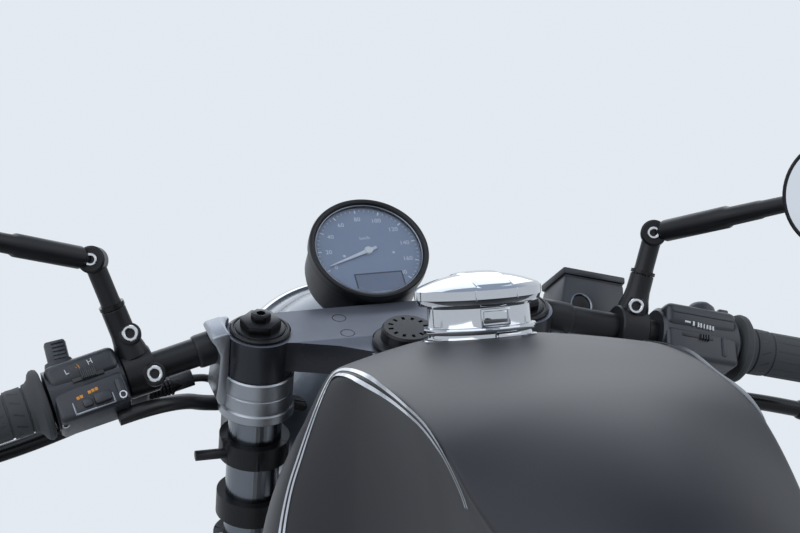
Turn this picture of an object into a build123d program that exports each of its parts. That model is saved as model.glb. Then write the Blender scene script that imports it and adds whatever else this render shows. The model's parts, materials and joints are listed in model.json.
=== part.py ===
from build123d import *
import math
import os

os.makedirs("parts", exist_ok=True)

# Frame: +Z up, +Y the way the motorcycle heads, +X its right-hand side, millimetres

# Wheels and stance
FRONT_R = 319.0
REAR_R = 325.0
FRONT_Y = 720.0
REAR_Y = -714.0
REAR_Z = 345.0
FRONT_AXLE = (0.0, FRONT_Y, FRONT_R)
REAR_AXLE = (0.0, REAR_Y, REAR_Z)
FRONT_TYRE_W = 98.0
REAR_TYRE_W = 124.0
RIM_BED_R = 224.0
RIM_HALF_W = 36.0
FIT = 0.05
SOFT = 0.3

# Steering head
RAKE = 26.0
RAKE_SIN = math.sin(math.radians(RAKE))
RAKE_COS = math.cos(math.radians(RAKE))
LEG_X = 103.5
LEG_Y = 40.0
HEAD_Z = 930.0
AXLE_C = (FRONT_R - HEAD_Z - LEG_Y * RAKE_SIN) / RAKE_COS
HEAD_Y = FRONT_Y - LEG_Y * RAKE_COS + AXLE_C * RAKE_SIN
SLIDER_TOP_C = AXLE_C + FRONT_R + 0.3
SLIDER_LOW_C = AXLE_C - 15.7
LEG_R = 20.5
BOSS_R = 25.75
BOSS_H = 32.0
YOKE_T = 25.0
STEM_R = 15.0
HEAD_BORE_R = 24.0
HEAD_OUTER_R = 30.0
HEAD_TOP_C = -30.0
HEAD_LOW_C = -176.0
LOWER_YOKE_TOP_C = -180.0
LOWER_YOKE_H = 30.0
STEER = Location((0, HEAD_Y, HEAD_Z), (RAKE, 0, 0))

# Handlebars, in the steering frame
BAR_R = 11.0
BAR_START = (132.0, 51.2, -15.2)
BAR_TILT = (0.966, -0.030, -0.257)
GRIP_R = 17.0
LEVER_DIR = (0.0, 0.643, -0.766)

# Instruments and lamp, in the steering frame
GAUGE_R = 47.5
GAUGE_DEPTH = 44.0
GAUGE_B = 105.6
GAUGE_C = 26.8
GAUGE_TILT = 26.0
LAMP_R = 86.0
LAMP_Y = 542.0
LAMP_Z = 882.0

LAMP_B = (LAMP_Y - HEAD_Y) * RAKE_COS + (LAMP_Z - HEAD_Z) * RAKE_SIN
LAMP_C = (LAMP_Z - HEAD_Z) * RAKE_COS - (LAMP_Y - HEAD_Y) * RAKE_SIN

# Fuel tank, relative to the steering head point
TANK_PARTS = [
    # y, crease x, crease z, top z, side x, side z, bottom x, bottom z
    (-38.0, 56.0, -26.0, -14.0, 67.0, -62.0, 60.0, -112.0),
    (-72.0, 76.0, -12.0, 4.0, 112.0, -76.0, 108.0, -150.0),
    (-120.0, 92.0, -7.0, 14.0, 147.0, -98.0, 152.0, -180.0),
    (-180.0, 112.0, 2.0, 18.0, 156.0, -110.0, 152.0, -190.0),
    (-250.0, 113.0, 4.0, 15.0, 118.0, -96.0, 130.0, -190.0),
    (-330.0, 108.0, -6.0, 4.0, 99.0, -98.0, 118.0, -190.0),
    (-400.0, 107.0, -27.0, -9.0, 97.0, -106.0, 112.0, -184.0),
    (-460.0, 103.0, -64.0, -28.0, 95.0, -118.0, 105.0, -174.0),
    (-520.0, 90.0, -100.0, -58.0, 88.0, -134.0, 92.0, -166.0),
    (-572.0, 68.0, -128.0, -96.0, 72.0, -142.0, 70.0, -158.0),
]
TUNNEL_X = 36.0
CAP_Y = -175.0
CAP_BASE_Z = 11.0
CAP_BASE_R = 41.0
CAP_BARREL_R = 38.5
CAP_LID_R = 44.0
CAP_PIN_Y = 48.5
CAP_PIN_Z = 42.5

# Frame tubes
BACKBONE_R = 25.0
TUBE_R = 14.0
RAIL_R = 12.5
RAIL_X = 104.0
RAIL_Z = 738.0
SEAT_H = 49.2
CRADLE_X = 98.0
CRADLE_Z = 188.0
ENGINE_FACE_Y = 230.0
ENGINE_FLOOR_Z = 205.0

# Swingarm and drive
ARM_X = 112.0
ARM_W = 28.0
ARM_H = 48.0
PIVOT_Y = -235.0
PIVOT_Z = 345.0
CHAIN_X = -78.0
CHAIN_W = 12.0
CHAIN_H = 14.0
SPROCKET_R = 95.0
DRIVE_R = 36.0
DRIVE_Y = -150.0
DRIVE_Z = 335.0

# Centre stand
STAND_Y = -212.0
STAND_Z = 163.0
STAND_R = 10.0


def save(shape, node):
    """Write one node as a STEP file."""
    export_step(shape, "parts/" + node + ".step")


def rod(a, b, r):
    """Solid round bar from point a to point b."""
    start = Vector(*a)
    run = Vector(*b) - start
    plane = Plane(origin=start, z_dir=run)
    return extrude(plane * Circle(r), run.length)


def block(x0, x1, y0, y1, z0, z1):
    """Box between two corners."""
    size = Box(x1 - x0, y1 - y0, z1 - z0)
    return Pos((x0 + x1) / 2, (y0 + y1) / 2, (z0 + z1) / 2) * size


def bent(points, bend, r):
    """Round bar along straight runs joined by tangent arcs."""
    path = FilletPolyline(*points, radius=bend)
    face = Plane(origin=path @ 0, z_dir=path % 0) * Circle(r)
    return sweep(face, path=path)


def turned(profile, x=0.0, y=0.0, z=0.0):
    """Revolve an (x, r) outline about an axis parallel to X."""
    outline = make_face(Polyline(*[(a, b, 0) for a, b in profile], close=True))
    return Pos(x, y, z) * revolve(outline, Axis.X)


def disc(x0, x1, y, z, r):
    """Round disc with its axis along X."""
    return rod((x0, y, z), (x1, y, z), r)


def pair(shape):
    """One node made of a shape and its mirror image across the centre plane."""
    sides = [shape, mirror(shape, about=Plane.YZ)]
    return Compound(children=[s if isinstance(s, Compound) else Compound([s]) for s in sides])


def spot(location):
    """Position of a location as a tuple."""
    p = location.position
    return (p.X, p.Y, p.Z)


def joined(items):
    """Fuse a list of solids."""
    first = items[0]
    rest = items[1:]
    return first.fuse(*rest) if rest else first


def tyre(width, outer, x=0.0, y=0.0, z=0.0):
    """Hollow tyre section turned about the axle."""
    half = width / 2
    base = RIM_BED_R + SOFT
    mid = (base + outer) / 2 - 8
    edges = [
        Line((31.7, base), (31.7, base + 16)),
        ThreePointArc((31.7, base + 16), (half, mid), (half - 3, outer - 36)),
        ThreePointArc((half - 3, outer - 36), (0, outer), (3 - half, outer - 36)),
        ThreePointArc((3 - half, outer - 36), (-half, mid), (-31.7, base + 16)),
        Line((-31.7, base + 16), (-31.7, base)),
        Line((-31.7, base), (-22.0, base)),
        Line((-22.0, base), (-22.0, base + 16)),
        ThreePointArc((-22.0, base + 16), (11 - half, mid), (14 - half, outer - 40)),
        ThreePointArc((14 - half, outer - 40), (0, outer - 13), (half - 14, outer - 40)),
        ThreePointArc((half - 14, outer - 40), (half - 11, mid), (22.0, base + 16)),
        Line((22.0, base + 16), (22.0, base)),
        Line((22.0, base), (31.7, base)),
    ]
    return Pos(x, y, z) * revolve(make_face(edges), Axis.X)


def wire_wheel(hub_r, hub_half, bore, spokes):
    """Rim, crossed wire spokes and hub turned about X at the origin."""
    edge = RIM_HALF_W
    seat = RIM_HALF_W - 4
    well = RIM_BED_R - 7
    rim = turned([
        (edge, well), (edge, RIM_BED_R + 16), (seat, RIM_BED_R + 16), (seat, RIM_BED_R), (14, RIM_BED_R),
        (10, well), (-10, well), (-14, RIM_BED_R), (-seat, RIM_BED_R), (-seat, RIM_BED_R + 16),
        (-edge, RIM_BED_R + 16), (-edge, well), (-14, well - 4), (-10, well - 8), (10, well - 8), (14, well - 4),
    ])
    hub = turned([
        (-hub_half, bore), (hub_half, bore), (hub_half, 34), (36, 34), (36, hub_r), (31, hub_r), (26, 30),
        (-26, 30), (-31, hub_r), (-36, hub_r), (-36, 34), (-hub_half, 34),
    ])
    pieces = [rim, hub]
    step = 360.0 / spokes
    for i in range(spokes):
        side = 1 if i % 2 else -1
        lean = 38.0 if i % 4 < 2 else -38.0
        a0 = math.radians(i * step)
        a1 = math.radians(i * step + lean)
        inner = (side * 33.0, (hub_r - 5) * math.cos(a1), (hub_r - 5) * math.sin(a1))
        reach = RIM_BED_R - 12
        outer = (side * 6.0, reach * math.cos(a0), reach * math.sin(a0))
        pieces.append(rod(inner, outer, 1.8))
    return joined(pieces)


# Front wheel
WHEEL_SPOKES = 36
front_tyre = tyre(FRONT_TYRE_W, FRONT_R, *FRONT_AXLE)
save(front_tyre, "front_tyre")
front_wheel = Pos(*FRONT_AXLE) * wire_wheel(46.0, 70.0, 10.0 + FIT, WHEEL_SPOKES)
save(front_wheel, "front_wheel")
front_disc_right = turned([
    (57, 110), (57, 150), (62, 150), (62, 110), (61, 110), (50, 60), (50, 34 + FIT), (46, 34 + FIT), (46, 62),
    (57, 112),
])
front_discs = Pos(*FRONT_AXLE) * pair(front_disc_right)
save(front_discs, "front_discs")

# Rear wheel
rear_tyre = tyre(REAR_TYRE_W, REAR_R, *REAR_AXLE)
save(rear_tyre, "rear_tyre")
rear_wheel = Pos(*REAR_AXLE) * wire_wheel(52.0, 84.0, 10.0 + FIT, WHEEL_SPOKES)
save(rear_wheel, "rear_wheel")
sprocket = turned([
    (-81, 66), (-81, SPROCKET_R), (-75, SPROCKET_R), (-75, 78), (-62, 62), (-44, 62), (-44, 34 + FIT),
    (-50, 34 + FIT), (-50, 56), (-66, 58),
])
save(Pos(*REAR_AXLE) * sprocket, "rear_sprocket")
rear_disc = turned([
    (70, 90), (70, 125), (75, 125), (75, 90), (74, 90), (60, 55), (52, 55), (52, 34 + FIT), (46, 34 + FIT),
    (46, 60), (57, 60),
])
save(Pos(*REAR_AXLE) * rear_disc, "rear_disc")

# Fork: stanchions, sliders, axle
BORE_R = LEG_R + FIT
LEG_LOW_C = SLIDER_TOP_C - 140
leg = rod((LEG_X, LEG_Y, -1), (LEG_X, LEG_Y, LEG_LOW_C), LEG_R)
leg = leg - rod((LEG_X, LEG_Y, -1), (LEG_X, LEG_Y, LEG_LOW_C), LEG_R - 4)
save(STEER * pair(leg), "stanchions")

slider = rod((LEG_X, LEG_Y, SLIDER_TOP_C - 25), (LEG_X, LEG_Y, SLIDER_LOW_C), 27.0)
slider = slider + rod((LEG_X, LEG_Y, SLIDER_TOP_C), (LEG_X, LEG_Y, SLIDER_TOP_C - 45), 29.5)
slider = slider + rod((LEG_X - 27, LEG_Y, AXLE_C), (LEG_X + 27, LEG_Y, AXLE_C), 29.0)
slider = slider + block(88.05, LEG_X + 6, LEG_Y - 112, LEG_Y, AXLE_C + 63.3, AXLE_C + 123.3)
slider = slider - rod((LEG_X, LEG_Y, SLIDER_TOP_C + 10), (LEG_X, LEG_Y, LEG_LOW_C - 10), BORE_R)
slider = slider - rod((LEG_X - 40, LEG_Y, AXLE_C), (LEG_X + 40, LEG_Y, AXLE_C), 10.0 + FIT)
save(STEER * pair(slider), "fork_sliders")

axle_half = LEG_X + 33.0
axle = rod((-axle_half, LEG_Y, AXLE_C), (axle_half, LEG_Y, AXLE_C), 10.0)
for s in (-1, 1):
    axle = axle + rod((s * (LEG_X + 27.2), LEG_Y, AXLE_C), (s * axle_half, LEG_Y, AXLE_C), 17.0)
    axle = axle + rod((s * 70.2, LEG_Y, AXLE_C), (s * (LEG_X - 27.2), LEG_Y, AXLE_C), 15.0)
axle = axle - rod((-axle_half, LEG_Y, AXLE_C), (axle_half, LEG_Y, AXLE_C), 6.0)
save(STEER * axle, "front_axle")

# Front calipers, each astride its disc
caliper = Pos(0, LEG_Y, AXLE_C) * block(42, 88, -136, -84, 58, 128)
caliper = fillet(caliper.edges().filter_by(Axis.X), 10.0)
slot = Pos(0, LEG_Y, AXLE_C) * disc(54.0, 65.0, 0, 0, 154.0)
caliper = caliper - slot
caliper = caliper - rod((LEG_X, LEG_Y, SLIDER_TOP_C - 20), (LEG_X, LEG_Y, SLIDER_LOW_C), 27.0 + FIT)
save(STEER * pair(caliper), "front_calipers")

# Top yoke with fork bosses
plate_line = Polyline(
    (-LEG_X, 65.5, 0), (LEG_X, 65.5, 0), (LEG_X, 22, 0), (80, 17.5, 0), (50, 7.5, 0), (26, -6, 0),
    (-26, -6, 0), (-50, 7.5, 0), (-80, 17.5, 0), (-LEG_X, 22, 0), close=True)
top_yoke = extrude(make_face(plate_line), -YOKE_T)
top_yoke = top_yoke + rod((0, 0, -YOKE_T), (0, 0, 0), 32.0)
for s in (-1, 1):
    top_yoke = top_yoke + rod((s * LEG_X, LEG_Y, -BOSS_H), (s * LEG_X, LEG_Y, 0), BOSS_R)
for s in (-1, 1):
    top_yoke = top_yoke - rod((s * LEG_X, LEG_Y, -BOSS_H - 1), (s * LEG_X, LEG_Y, 1), BORE_R)
    for b in (49.0, 25.6):
        top_yoke = top_yoke - rod((s * 39, b, -1.0), (s * 39, b, 1), 5.5)
top_yoke = top_yoke - rod((0, 0, -YOKE_T - 1), (0, 0, 1), STEM_R + FIT)
save(STEER * top_yoke, "top_yoke")

# Fork caps and stem nut
cap = rod((LEG_X, LEG_Y, 0), (LEG_X, LEG_Y, 3.5), 23.5)
hexagon = Pos(LEG_X, LEG_Y, 3.5) * extrude(RegularPolygon(18.0, 6), 7.0)
cap = cap + hexagon
cap = cap + Pos(LEG_X, LEG_Y, 10.5) * extrude(RegularPolygon(10.0, 6), 4.5)
cap = cap + rod((LEG_X, LEG_Y, -12), (LEG_X, LEG_Y, 0), LEG_R - 4 - FIT)
cap = cap - rod((LEG_X, LEG_Y, 9), (LEG_X, LEG_Y, 16), 4.0)
save(STEER * pair(cap), "fork_caps")

nut = rod((0, 0, 0), (0, 0, 16), 27.0)
nut = nut - rod((0, 0, 8), (0, 0, 17), 13.0)
for i in range(12):
    a = math.radians(30 * i)
    nut = nut - rod((20 * math.cos(a), 20 * math.sin(a), 13.5), (20 * math.cos(a), 20 * math.sin(a), 17), 2.6)
save(STEER * nut, "stem_nut")

# Lower yoke with the steering stem
low_c = LOWER_YOKE_TOP_C
low_line = Polyline(
    (-LEG_X, 62, 0), (LEG_X, 62, 0), (LEG_X, 20, 0), (26, -10, 0), (-26, -10, 0), (-LEG_X, 20, 0), close=True)
lower_yoke = Pos(0, 0, low_c) * extrude(make_face(low_line), -LOWER_YOKE_H)
for s in (-1, 1):
    lower_yoke = lower_yoke + rod((s * LEG_X, LEG_Y, low_c - 34), (s * LEG_X, LEG_Y, low_c), 28.0)
lower_yoke = lower_yoke + rod((0, 0, low_c), (0, 0, -0.3), STEM_R)
lower_yoke = lower_yoke + rod((0, 0, low_c), (0, 0, HEAD_LOW_C + 12), HEAD_BORE_R - FIT)
lower_yoke = lower_yoke + rod((0, 0, HEAD_TOP_C - 12), (0, 0, -YOKE_T - 0.2), HEAD_BORE_R - FIT)
for s in (-1, 1):
    lower_yoke = lower_yoke - rod((s * LEG_X, LEG_Y, low_c - 40), (s * LEG_X, LEG_Y, low_c + 5), BORE_R)
save(STEER * lower_yoke, "lower_yoke")

# Clip-on clamps with raised brackets
bar_dir = Vector(*BAR_TILT).normalized()
bar_start = Vector(*BAR_START)


def bar_point(s):
    """Point on the handlebar axis at distance s from its inner end."""
    p = bar_start + bar_dir * s
    return (p.X, p.Y, p.Z)


def on_bar(s):
    """Plane across the handlebar, x toward the lever, z outboard."""
    return Plane(origin=bar_point(s), x_dir=LEVER_DIR, z_dir=bar_dir)


clamp_top = -BOSS_H - 0.5
RISER_TOP = {"left": 0.0, "right": -24.0}


def clip_on(top):
    """Fork clamp with a bracket that rises to a height and holds the bar."""
    clip = rod((LEG_X, LEG_Y, clamp_top - 26), (LEG_X, LEG_Y, clamp_top), 27.5)
    clip = clip + rod((LEG_X, LEG_Y, clamp_top - 35), (LEG_X, LEG_Y, clamp_top - 26), 29.0)
    clip = clip + block(LEG_X + 8, LEG_X + 45, LEG_Y - 12, LEG_Y + 20, clamp_top - 24, clamp_top)
    clip = clip + block(LEG_X + 28, LEG_X + 44, LEG_Y - 8, LEG_Y + 24, clamp_top - 10, top)
    clip = clip + rod(bar_point(-4), bar_point(16), 16.5)
    clip = clip + block(LEG_X - 10, LEG_X + 10, LEG_Y - 40, LEG_Y - 20, clamp_top - 24, clamp_top - 2)
    clip = clip - rod((LEG_X, LEG_Y, clamp_top - 48), (LEG_X, LEG_Y, clamp_top + 1), BORE_R)
    clip = clip - rod((LEG_X, LEG_Y, clamp_top), (LEG_X, LEG_Y, 20), BOSS_R + 0.6)
    return clip - rod(bar_point(0), bar_point(40), BAR_R + FIT)


clip_left = mirror(clip_on(RISER_TOP["left"]), about=Plane.YZ)
clip_right = clip_on(RISER_TOP["right"])
save(STEER * Compound(children=[Compound([clip_left]), Compound([clip_right])]), "clip_ons")

# Handlebar tubes
BAR_LEN = 270.0
bar = rod(bar_point(0), bar_point(BAR_LEN), BAR_R) - rod(bar_point(2), bar_point(BAR_LEN), BAR_R - 3)
save(STEER * pair(bar), "handlebars")

# Grips with flared collars
GRIP_IN = {"left": 137.0, "right": 166.0}
GRIP_END = BAR_LEN + 6


def grip(start):
    """Rubber grip sleeve with a collar at its inner end."""
    body = rod(bar_point(start + 5), bar_point(GRIP_END), GRIP_R)
    collar = rod(bar_point(start), bar_point(start + 5), GRIP_R + 9)
    neck = rod(bar_point(start + 5), bar_point(start + 12), GRIP_R + 2.5)
    end = rod(bar_point(GRIP_END - 6), bar_point(GRIP_END), GRIP_R + 2)
    solid = body + collar + neck + end
    return solid - rod(bar_point(start - 1), bar_point(BAR_LEN + 0.5), BAR_R + SOFT)


save(STEER * mirror(grip(GRIP_IN["left"]), about=Plane.YZ), "grip_left")
save(STEER * grip(GRIP_IN["right"]), "grip_right")

# Round mirrors on clamped, jointed stems
MIRROR_R = 43.0
MIRROR_NORMAL = (-0.22, -0.90, 0.37)
PERCH = {"left": 63.5, "right": 71.0}
PERCH_HALF = 12.0
PERCH_R = 18.0
MIRRORS = {
    # side: (perch on the bar, knuckle, middle of the glass)
    "left": (PERCH["left"], (224.0, 80.0, 50.0), (372.0, 4.0, 131.0)),
    "right": (PERCH["right"], (227.0, 80.0, 34.0), (304.0, -70.0, 137.0)),
}


def mirror_pieces(perch_at, knuckle, middle):
    """Mirror arm that stands on a lever's perch, with its shell, and the glass in it."""
    normal = Vector(*MIRROR_NORMAL).normalized()
    centre = Vector(*middle)
    foot = Vector(*bar_point(perch_at))
    run = (Vector(*knuckle) - foot).normalized()
    reach = (Vector(*knuckle) - foot).length
    marks = [foot + run * d for d in (14, reach * 0.6, reach * 0.6 + 4)]
    low, ring, high = [(m.X, m.Y, m.Z) for m in marks]
    arm = rod(low, ring, 9.0) + rod(ring, high, 10.0) + rod(high, knuckle, 7.5)
    arm = arm - rod(bar_point(perch_at - 30), bar_point(perch_at + 30), PERCH_R)
    arm = arm + Pos(*knuckle) * Sphere(11.5)
    hub = centre - normal * 15
    out = hub - Vector(*knuckle)
    step = Vector(*knuckle) + out * 0.45
    step_at = (step.X, step.Y, step.Z)
    arm = arm + rod(knuckle, step_at, 8.0) + rod(step_at, (hub.X, hub.Y, hub.Z), 6.5)
    flat = [Plane(origin=centre - normal * d, z_dir=normal) for d in (3, 9, 14)]
    arm = arm - extrude(flat[1] * Circle(MIRROR_R + 10), 40.0)
    shell = extrude(Plane(origin=centre, z_dir=normal) * Circle(MIRROR_R), -9.0)
    shell = shell + extrude(flat[2] * Circle(MIRROR_R - 14), 6.0)
    shell = shell - extrude(flat[0] * Circle(MIRROR_R - 2.5), 5.0)
    return arm + shell, extrude(flat[0] * Circle(MIRROR_R - 2.6), 2.0)


left_arm, left_glass = [mirror(m, about=Plane.YZ) for m in mirror_pieces(*MIRRORS["left"])]
right_arm, right_glass = mirror_pieces(*MIRRORS["right"])
save(STEER * Compound(children=[Compound([left_arm]), Compound([right_arm])]), "mirrors")
save(STEER * Compound(children=[Compound([left_glass]), Compound([right_glass])]), "mirror_glass")

# Switch housings
SWITCH = {"left": (76.0, 134.0), "right": (93.5, 160.0)}


def switch_body(start, end):
    """Two-part switch housing clamped round the bar."""
    mid = (start + end) / 2
    drum = rod(bar_point(start), bar_point(end), 21.5)
    lump = extrude(on_bar(start + 4) * Pos(-6, 8) * Rectangle(38, 28), end - start - 8)
    lower = extrude(on_bar(start + 4) * Pos(4, -12) * Rectangle(34, 24), end - start - 8)
    return drum + lump + lower, mid


left_switch, left_mid = switch_body(*SWITCH["left"])
left_switch = left_switch + extrude(on_bar(left_mid + 8) * Pos(-8, 26) * Rectangle(12, 16), 14)
left_switch = left_switch - rod(bar_point(60), bar_point(160), BAR_R + FIT)
left_switch = mirror(left_switch, about=Plane.YZ)
save(STEER * left_switch, "switch_left")
right_switch, right_mid = switch_body(*SWITCH["right"])
right_switch = right_switch + rod(
    spot(on_bar(right_mid) * Pos(-6, 20, 0)), spot(on_bar(right_mid) * Pos(-6, 30, 0)), 9.0)
right_switch = right_switch - rod(bar_point(60), bar_point(170), BAR_R + FIT)
save(STEER * right_switch, "switch_right")


# Levers and perches, hung from the inner side of each switch
def lever_set(at, drop):
    """Perch clamped on the bar with a bent lever reaching outboard, dropped below the bar."""
    ring = rod(bar_point(at - PERCH_HALF), bar_point(at + PERCH_HALF), PERCH_R)
    arm = extrude(on_bar(at - 7) * Pos(26, -drop / 2) * Rectangle(34, 16 + drop), 14)
    pivot = on_bar(at + 16) * Pos(50, -drop, 0)
    knee = on_bar(at + 60) * Pos(62, -drop, 0)
    tip = on_bar(BAR_LEN) * Pos(66, -drop, 0)
    ball = spot(tip)
    arm = arm + extrude(on_bar(at - 7) * Pos(48, -drop) * Rectangle(26, 20), 28)
    lever = rod(spot(pivot), spot(knee), 7.0)
    lever = lever + rod(spot(knee), ball, 6.5)
    lever = lever + Pos(*spot(knee)) * Sphere(7.0) + Pos(*ball) * Sphere(8.5)
    body = ring + arm + lever
    return body - rod(bar_point(at - 20), bar_point(at + 20), BAR_R + FIT)


BRAKE_DROP = 13.0
MASTER_R = 12.0
save(STEER * mirror(lever_set(PERCH["left"], 4.0), about=Plane.YZ), "clutch_lever")
brake_lever = lever_set(PERCH["right"], BRAKE_DROP)
master = Pos(46, -BRAKE_DROP, 0)
brake_lever = brake_lever + rod(spot(on_bar(28) * master), spot(on_bar(66) * master), MASTER_R)
save(STEER * brake_lever, "brake_lever")
reservoir_side = make_face(Polyline((-19, -2), (-30, 56), (-82, 56), (-82, -2), close=True))
reservoir = extrude(on_bar(0) * Pos(22, 0) * Rot(0, 90, 0) * reservoir_side, 40)
reservoir = fillet(reservoir.edges().filter_by(GeomType.LINE), 3.0)
reservoir = reservoir - brake_lever
save(STEER * reservoir, "brake_reservoir")

# Wiring looms, clutch cable and brake hose, each drawn whole along its route
LOOM_R = 6.0
CABLE_R = 3.0
HOSE_R = 4.5


def loom(start, housing):
    """Sleeve from under a switch to the back of the lamp shell."""
    under = Pos(0, -29, 0)
    ends = [spot(on_bar(start + 14) * under), spot(on_bar(46) * under)]
    sleeve = bent(ends + [(126, 78, -84), (80, 76, -83), (40, 70, -92)], 10 * LOOM_R, LOOM_R)
    return sleeve - housing - Pos(0, LAMP_B, LAMP_C) * Sphere(LAMP_R + FIT)


loom_left = mirror(loom(SWITCH["left"][0], mirror(left_switch, about=Plane.YZ)), about=Plane.YZ)
loom_right = loom(SWITCH["right"][0], right_switch + brake_lever)
nipple = Pos(48, -4, 0)
adjuster = rod(spot(on_bar(22) * nipple), spot(on_bar(PERCH["left"] - 7 - FIT) * nipple), 6.5)
clutch_cable = bent([
    spot(on_bar(36) * nipple), spot(on_bar(17) * nipple), (118, 97, -76), (60, 98, -86)], 10 * CABLE_R, CABLE_R)
clutch_cable = clutch_cable + adjuster - Pos(0, LAMP_B, LAMP_C) * Sphere(LAMP_R + FIT)
hose = bent([
    spot(on_bar(35) * Pos(46, 2 - BRAKE_DROP - MASTER_R, 0)), (150, 62, -150), (140, 40, -330), (138, -40, -470),
    (78, -70, AXLE_C + 169), (78, -70, AXLE_C + 128.05)], 10 * HOSE_R, HOSE_R)
hose = hose - brake_lever
cables = [loom_left, loom_right, mirror(clutch_cable, about=Plane.YZ), hose]
save(STEER * Compound(children=[Compound([c]) for c in cables]), "control_cables")

# Gauge cup and face
gauge_at = Location((0, GAUGE_B, GAUGE_C), (GAUGE_TILT, 0, 0))
cup = rod((0, 0, -GAUGE_DEPTH), (0, 0, -8), GAUGE_R - 2.5) + rod((0, 0, -12), (0, 0, 2), GAUGE_R)
cup = cup - rod((0, 0, -6), (0, 0, 4), GAUGE_R - 5)
face = rod((0, 0, -6), (0, 0, -2), GAUGE_R - 5.05)
save(STEER * gauge_at * cup, "gauge_cup")
save(STEER * gauge_at * face, "gauge_face")
gauge_stay = gauge_at * block(-24, 24, -45, 14, -GAUGE_DEPTH - 4, -GAUGE_DEPTH)
gauge_stay = gauge_stay + block(-24, 24, 36, 86, -YOKE_T - 4, -YOKE_T)
gauge_stay = gauge_stay + block(-24, 24, 72, 86, -YOKE_T - 13, -YOKE_T)
gauge_stay = gauge_stay - gauge_at * rod((0, 0, -GAUGE_DEPTH), (0, 0, 10), GAUGE_R + 2)
gauge_stay = gauge_stay - block(-60, 60, 20, 66, -YOKE_T, 10)
gauge_stay = gauge_stay - Pos(0, LAMP_B, LAMP_C) * Sphere(LAMP_R + 1)
save(STEER * gauge_stay, "gauge_bracket")

# Headlamp
dome = Sphere(LAMP_R) & block(-200, 200, -200, 26, -200, 200)
dome = dome + rod((0, 26, 0), (0, 62, 0), LAMP_R - 2)
dome = dome - (Sphere(LAMP_R - 3) & block(-200, 200, -200, 27, -200, 200))
dome = dome - rod((0, 24, 0), (0, 63, 0), LAMP_R - 5)
LAMP = Pos(0, LAMP_Y, LAMP_Z)
save(LAMP * dome, "headlamp_shell")
lens = rod((0, 62, 0), (0, 70, 0), LAMP_R + 1)
lens = lens + (Pos(0, -60, 0) * Sphere(152) & block(-200, 200, 70, 120, -200, 200))
save(LAMP * lens, "headlamp_lens")

# Lamp ears: two rings on each stanchion joined by a plate, with a lamp stub
ear = rod((LEG_X, LEG_Y, -108), (LEG_X, LEG_Y, -90), 27.0)
ear = ear + rod((LEG_X, LEG_Y, -160), (LEG_X, LEG_Y, -141), 27.0)
ear = ear + block(LEG_X - 6, LEG_X, 60, 138, -150, -92)
ear = ear + rod((LEG_X + 24, LEG_Y - 8, -100), (LEG_X + 48, LEG_Y - 8, -100), 4.0)
ear = ear + rod((LAMP_R - 6, LAMP_B, LAMP_C), (LEG_X - 3, LAMP_B, LAMP_C), 9.0)
ear = ear - rod((LEG_X, LEG_Y, -170), (LEG_X, LEG_Y, -80), BORE_R)
ear = ear - Pos(0, LAMP_B, LAMP_C) * Sphere(LAMP_R)
save(STEER * pair(ear), "lamp_ears")

# Front fender with brackets on the sliders
wall = FRONT_R - 19
lip = FRONT_R - 1
crown = FRONT_R + 26
fender_face = make_face([
    Line((-56, wall), (-56, lip)), ThreePointArc((-56, lip), (0, crown), (56, lip)), Line((56, lip), (56, wall)),
    Line((56, wall), (53, wall)), Line((53, wall), (53, lip - 1)),
    ThreePointArc((53, lip - 1), (0, crown - 3), (-53, lip - 1)),
    Line((-53, lip - 1), (-53, wall)), Line((-53, wall), (-56, wall))])
fender = Pos(*FRONT_AXLE) * Rot(58, 0, 0) * revolve(fender_face, Axis.X, revolution_arc=110)
for s in (-1, 1):
    tab = block(min(s * 55, s * 84), max(s * 55, s * 84), 30, 50, SLIDER_TOP_C - 18, SLIDER_TOP_C - 6)
    tab = tab - rod((s * LEG_X, LEG_Y, SLIDER_TOP_C - 30), (s * LEG_X, LEG_Y, SLIDER_TOP_C + 10), 29.5)
    fender = fender + STEER * tab
save(fender, "front_fender")

# Frame
head_tube = STEER * rod((0, 0, HEAD_LOW_C), (0, 0, HEAD_TOP_C), HEAD_OUTER_R)
backbone = rod((0, 425, 842), (0, -150, 762), BACKBONE_R)
frame_parts = [head_tube, backbone]
frame_parts.append(rod((-TUNNEL_X, 250, 818), (TUNNEL_X, 250, 818), 10.0))
frame_parts.append(rod((-TUNNEL_X, -140, 774), (TUNNEL_X, -140, 774), 9.0))
for s in (-1, 1):
    down = bent([
        (s * 16, 432, 815), (s * 45, 285, 262), (s * CRADLE_X, 185, CRADLE_Z), (s * CRADLE_X, -200, CRADLE_Z),
        (s * 104, -268, 400), (s * 92, -214, RAIL_Z)], 60.0, TUBE_R)
    rail = bent([
        (s * 15, -118, RAIL_Z), (s * 92, -215, RAIL_Z), (s * RAIL_X, -470, RAIL_Z),
        (s * RAIL_X, -790, RAIL_Z + 10)], 60.0, RAIL_R)
    strut = rod((s * 102, -258, 440), (s * RAIL_X, -560, RAIL_Z + 2), 10.0)
    lug = block(min(s * 34, s * 56), max(s * 34, s * 56), ENGINE_FACE_Y, 290, 268, 300)
    foot_pad = block(min(s * 84, s * 106), max(s * 84, s * 106), -100, -60, CRADLE_Z, ENGINE_FLOOR_Z)
    shock_pin = rod((s * RAIL_X, -548, RAIL_Z + 2), (s * 152, -548, RAIL_Z + 2), 8.0)
    pivot_plate = block(min(s * 88, s * 97), max(s * 88, s * 97), -278, -212, 305, 385)
    x0, x1 = sorted((s * 86, s * 98))
    stand_lug = block(x0, x1, STAND_Y - 16, STAND_Y + 16, STAND_Z - 16, CRADLE_Z + 4)
    frame_parts = frame_parts + [down, rail, strut, lug, foot_pad, shock_pin, pivot_plate, stand_lug]
frame_parts.append(rod((-RAIL_X, -788, RAIL_Z + 10), (RAIL_X, -788, RAIL_Z + 10), RAIL_R))
frame_parts.append(rod((-100, -300, RAIL_Z), (100, -300, RAIL_Z), 10.0))
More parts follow.
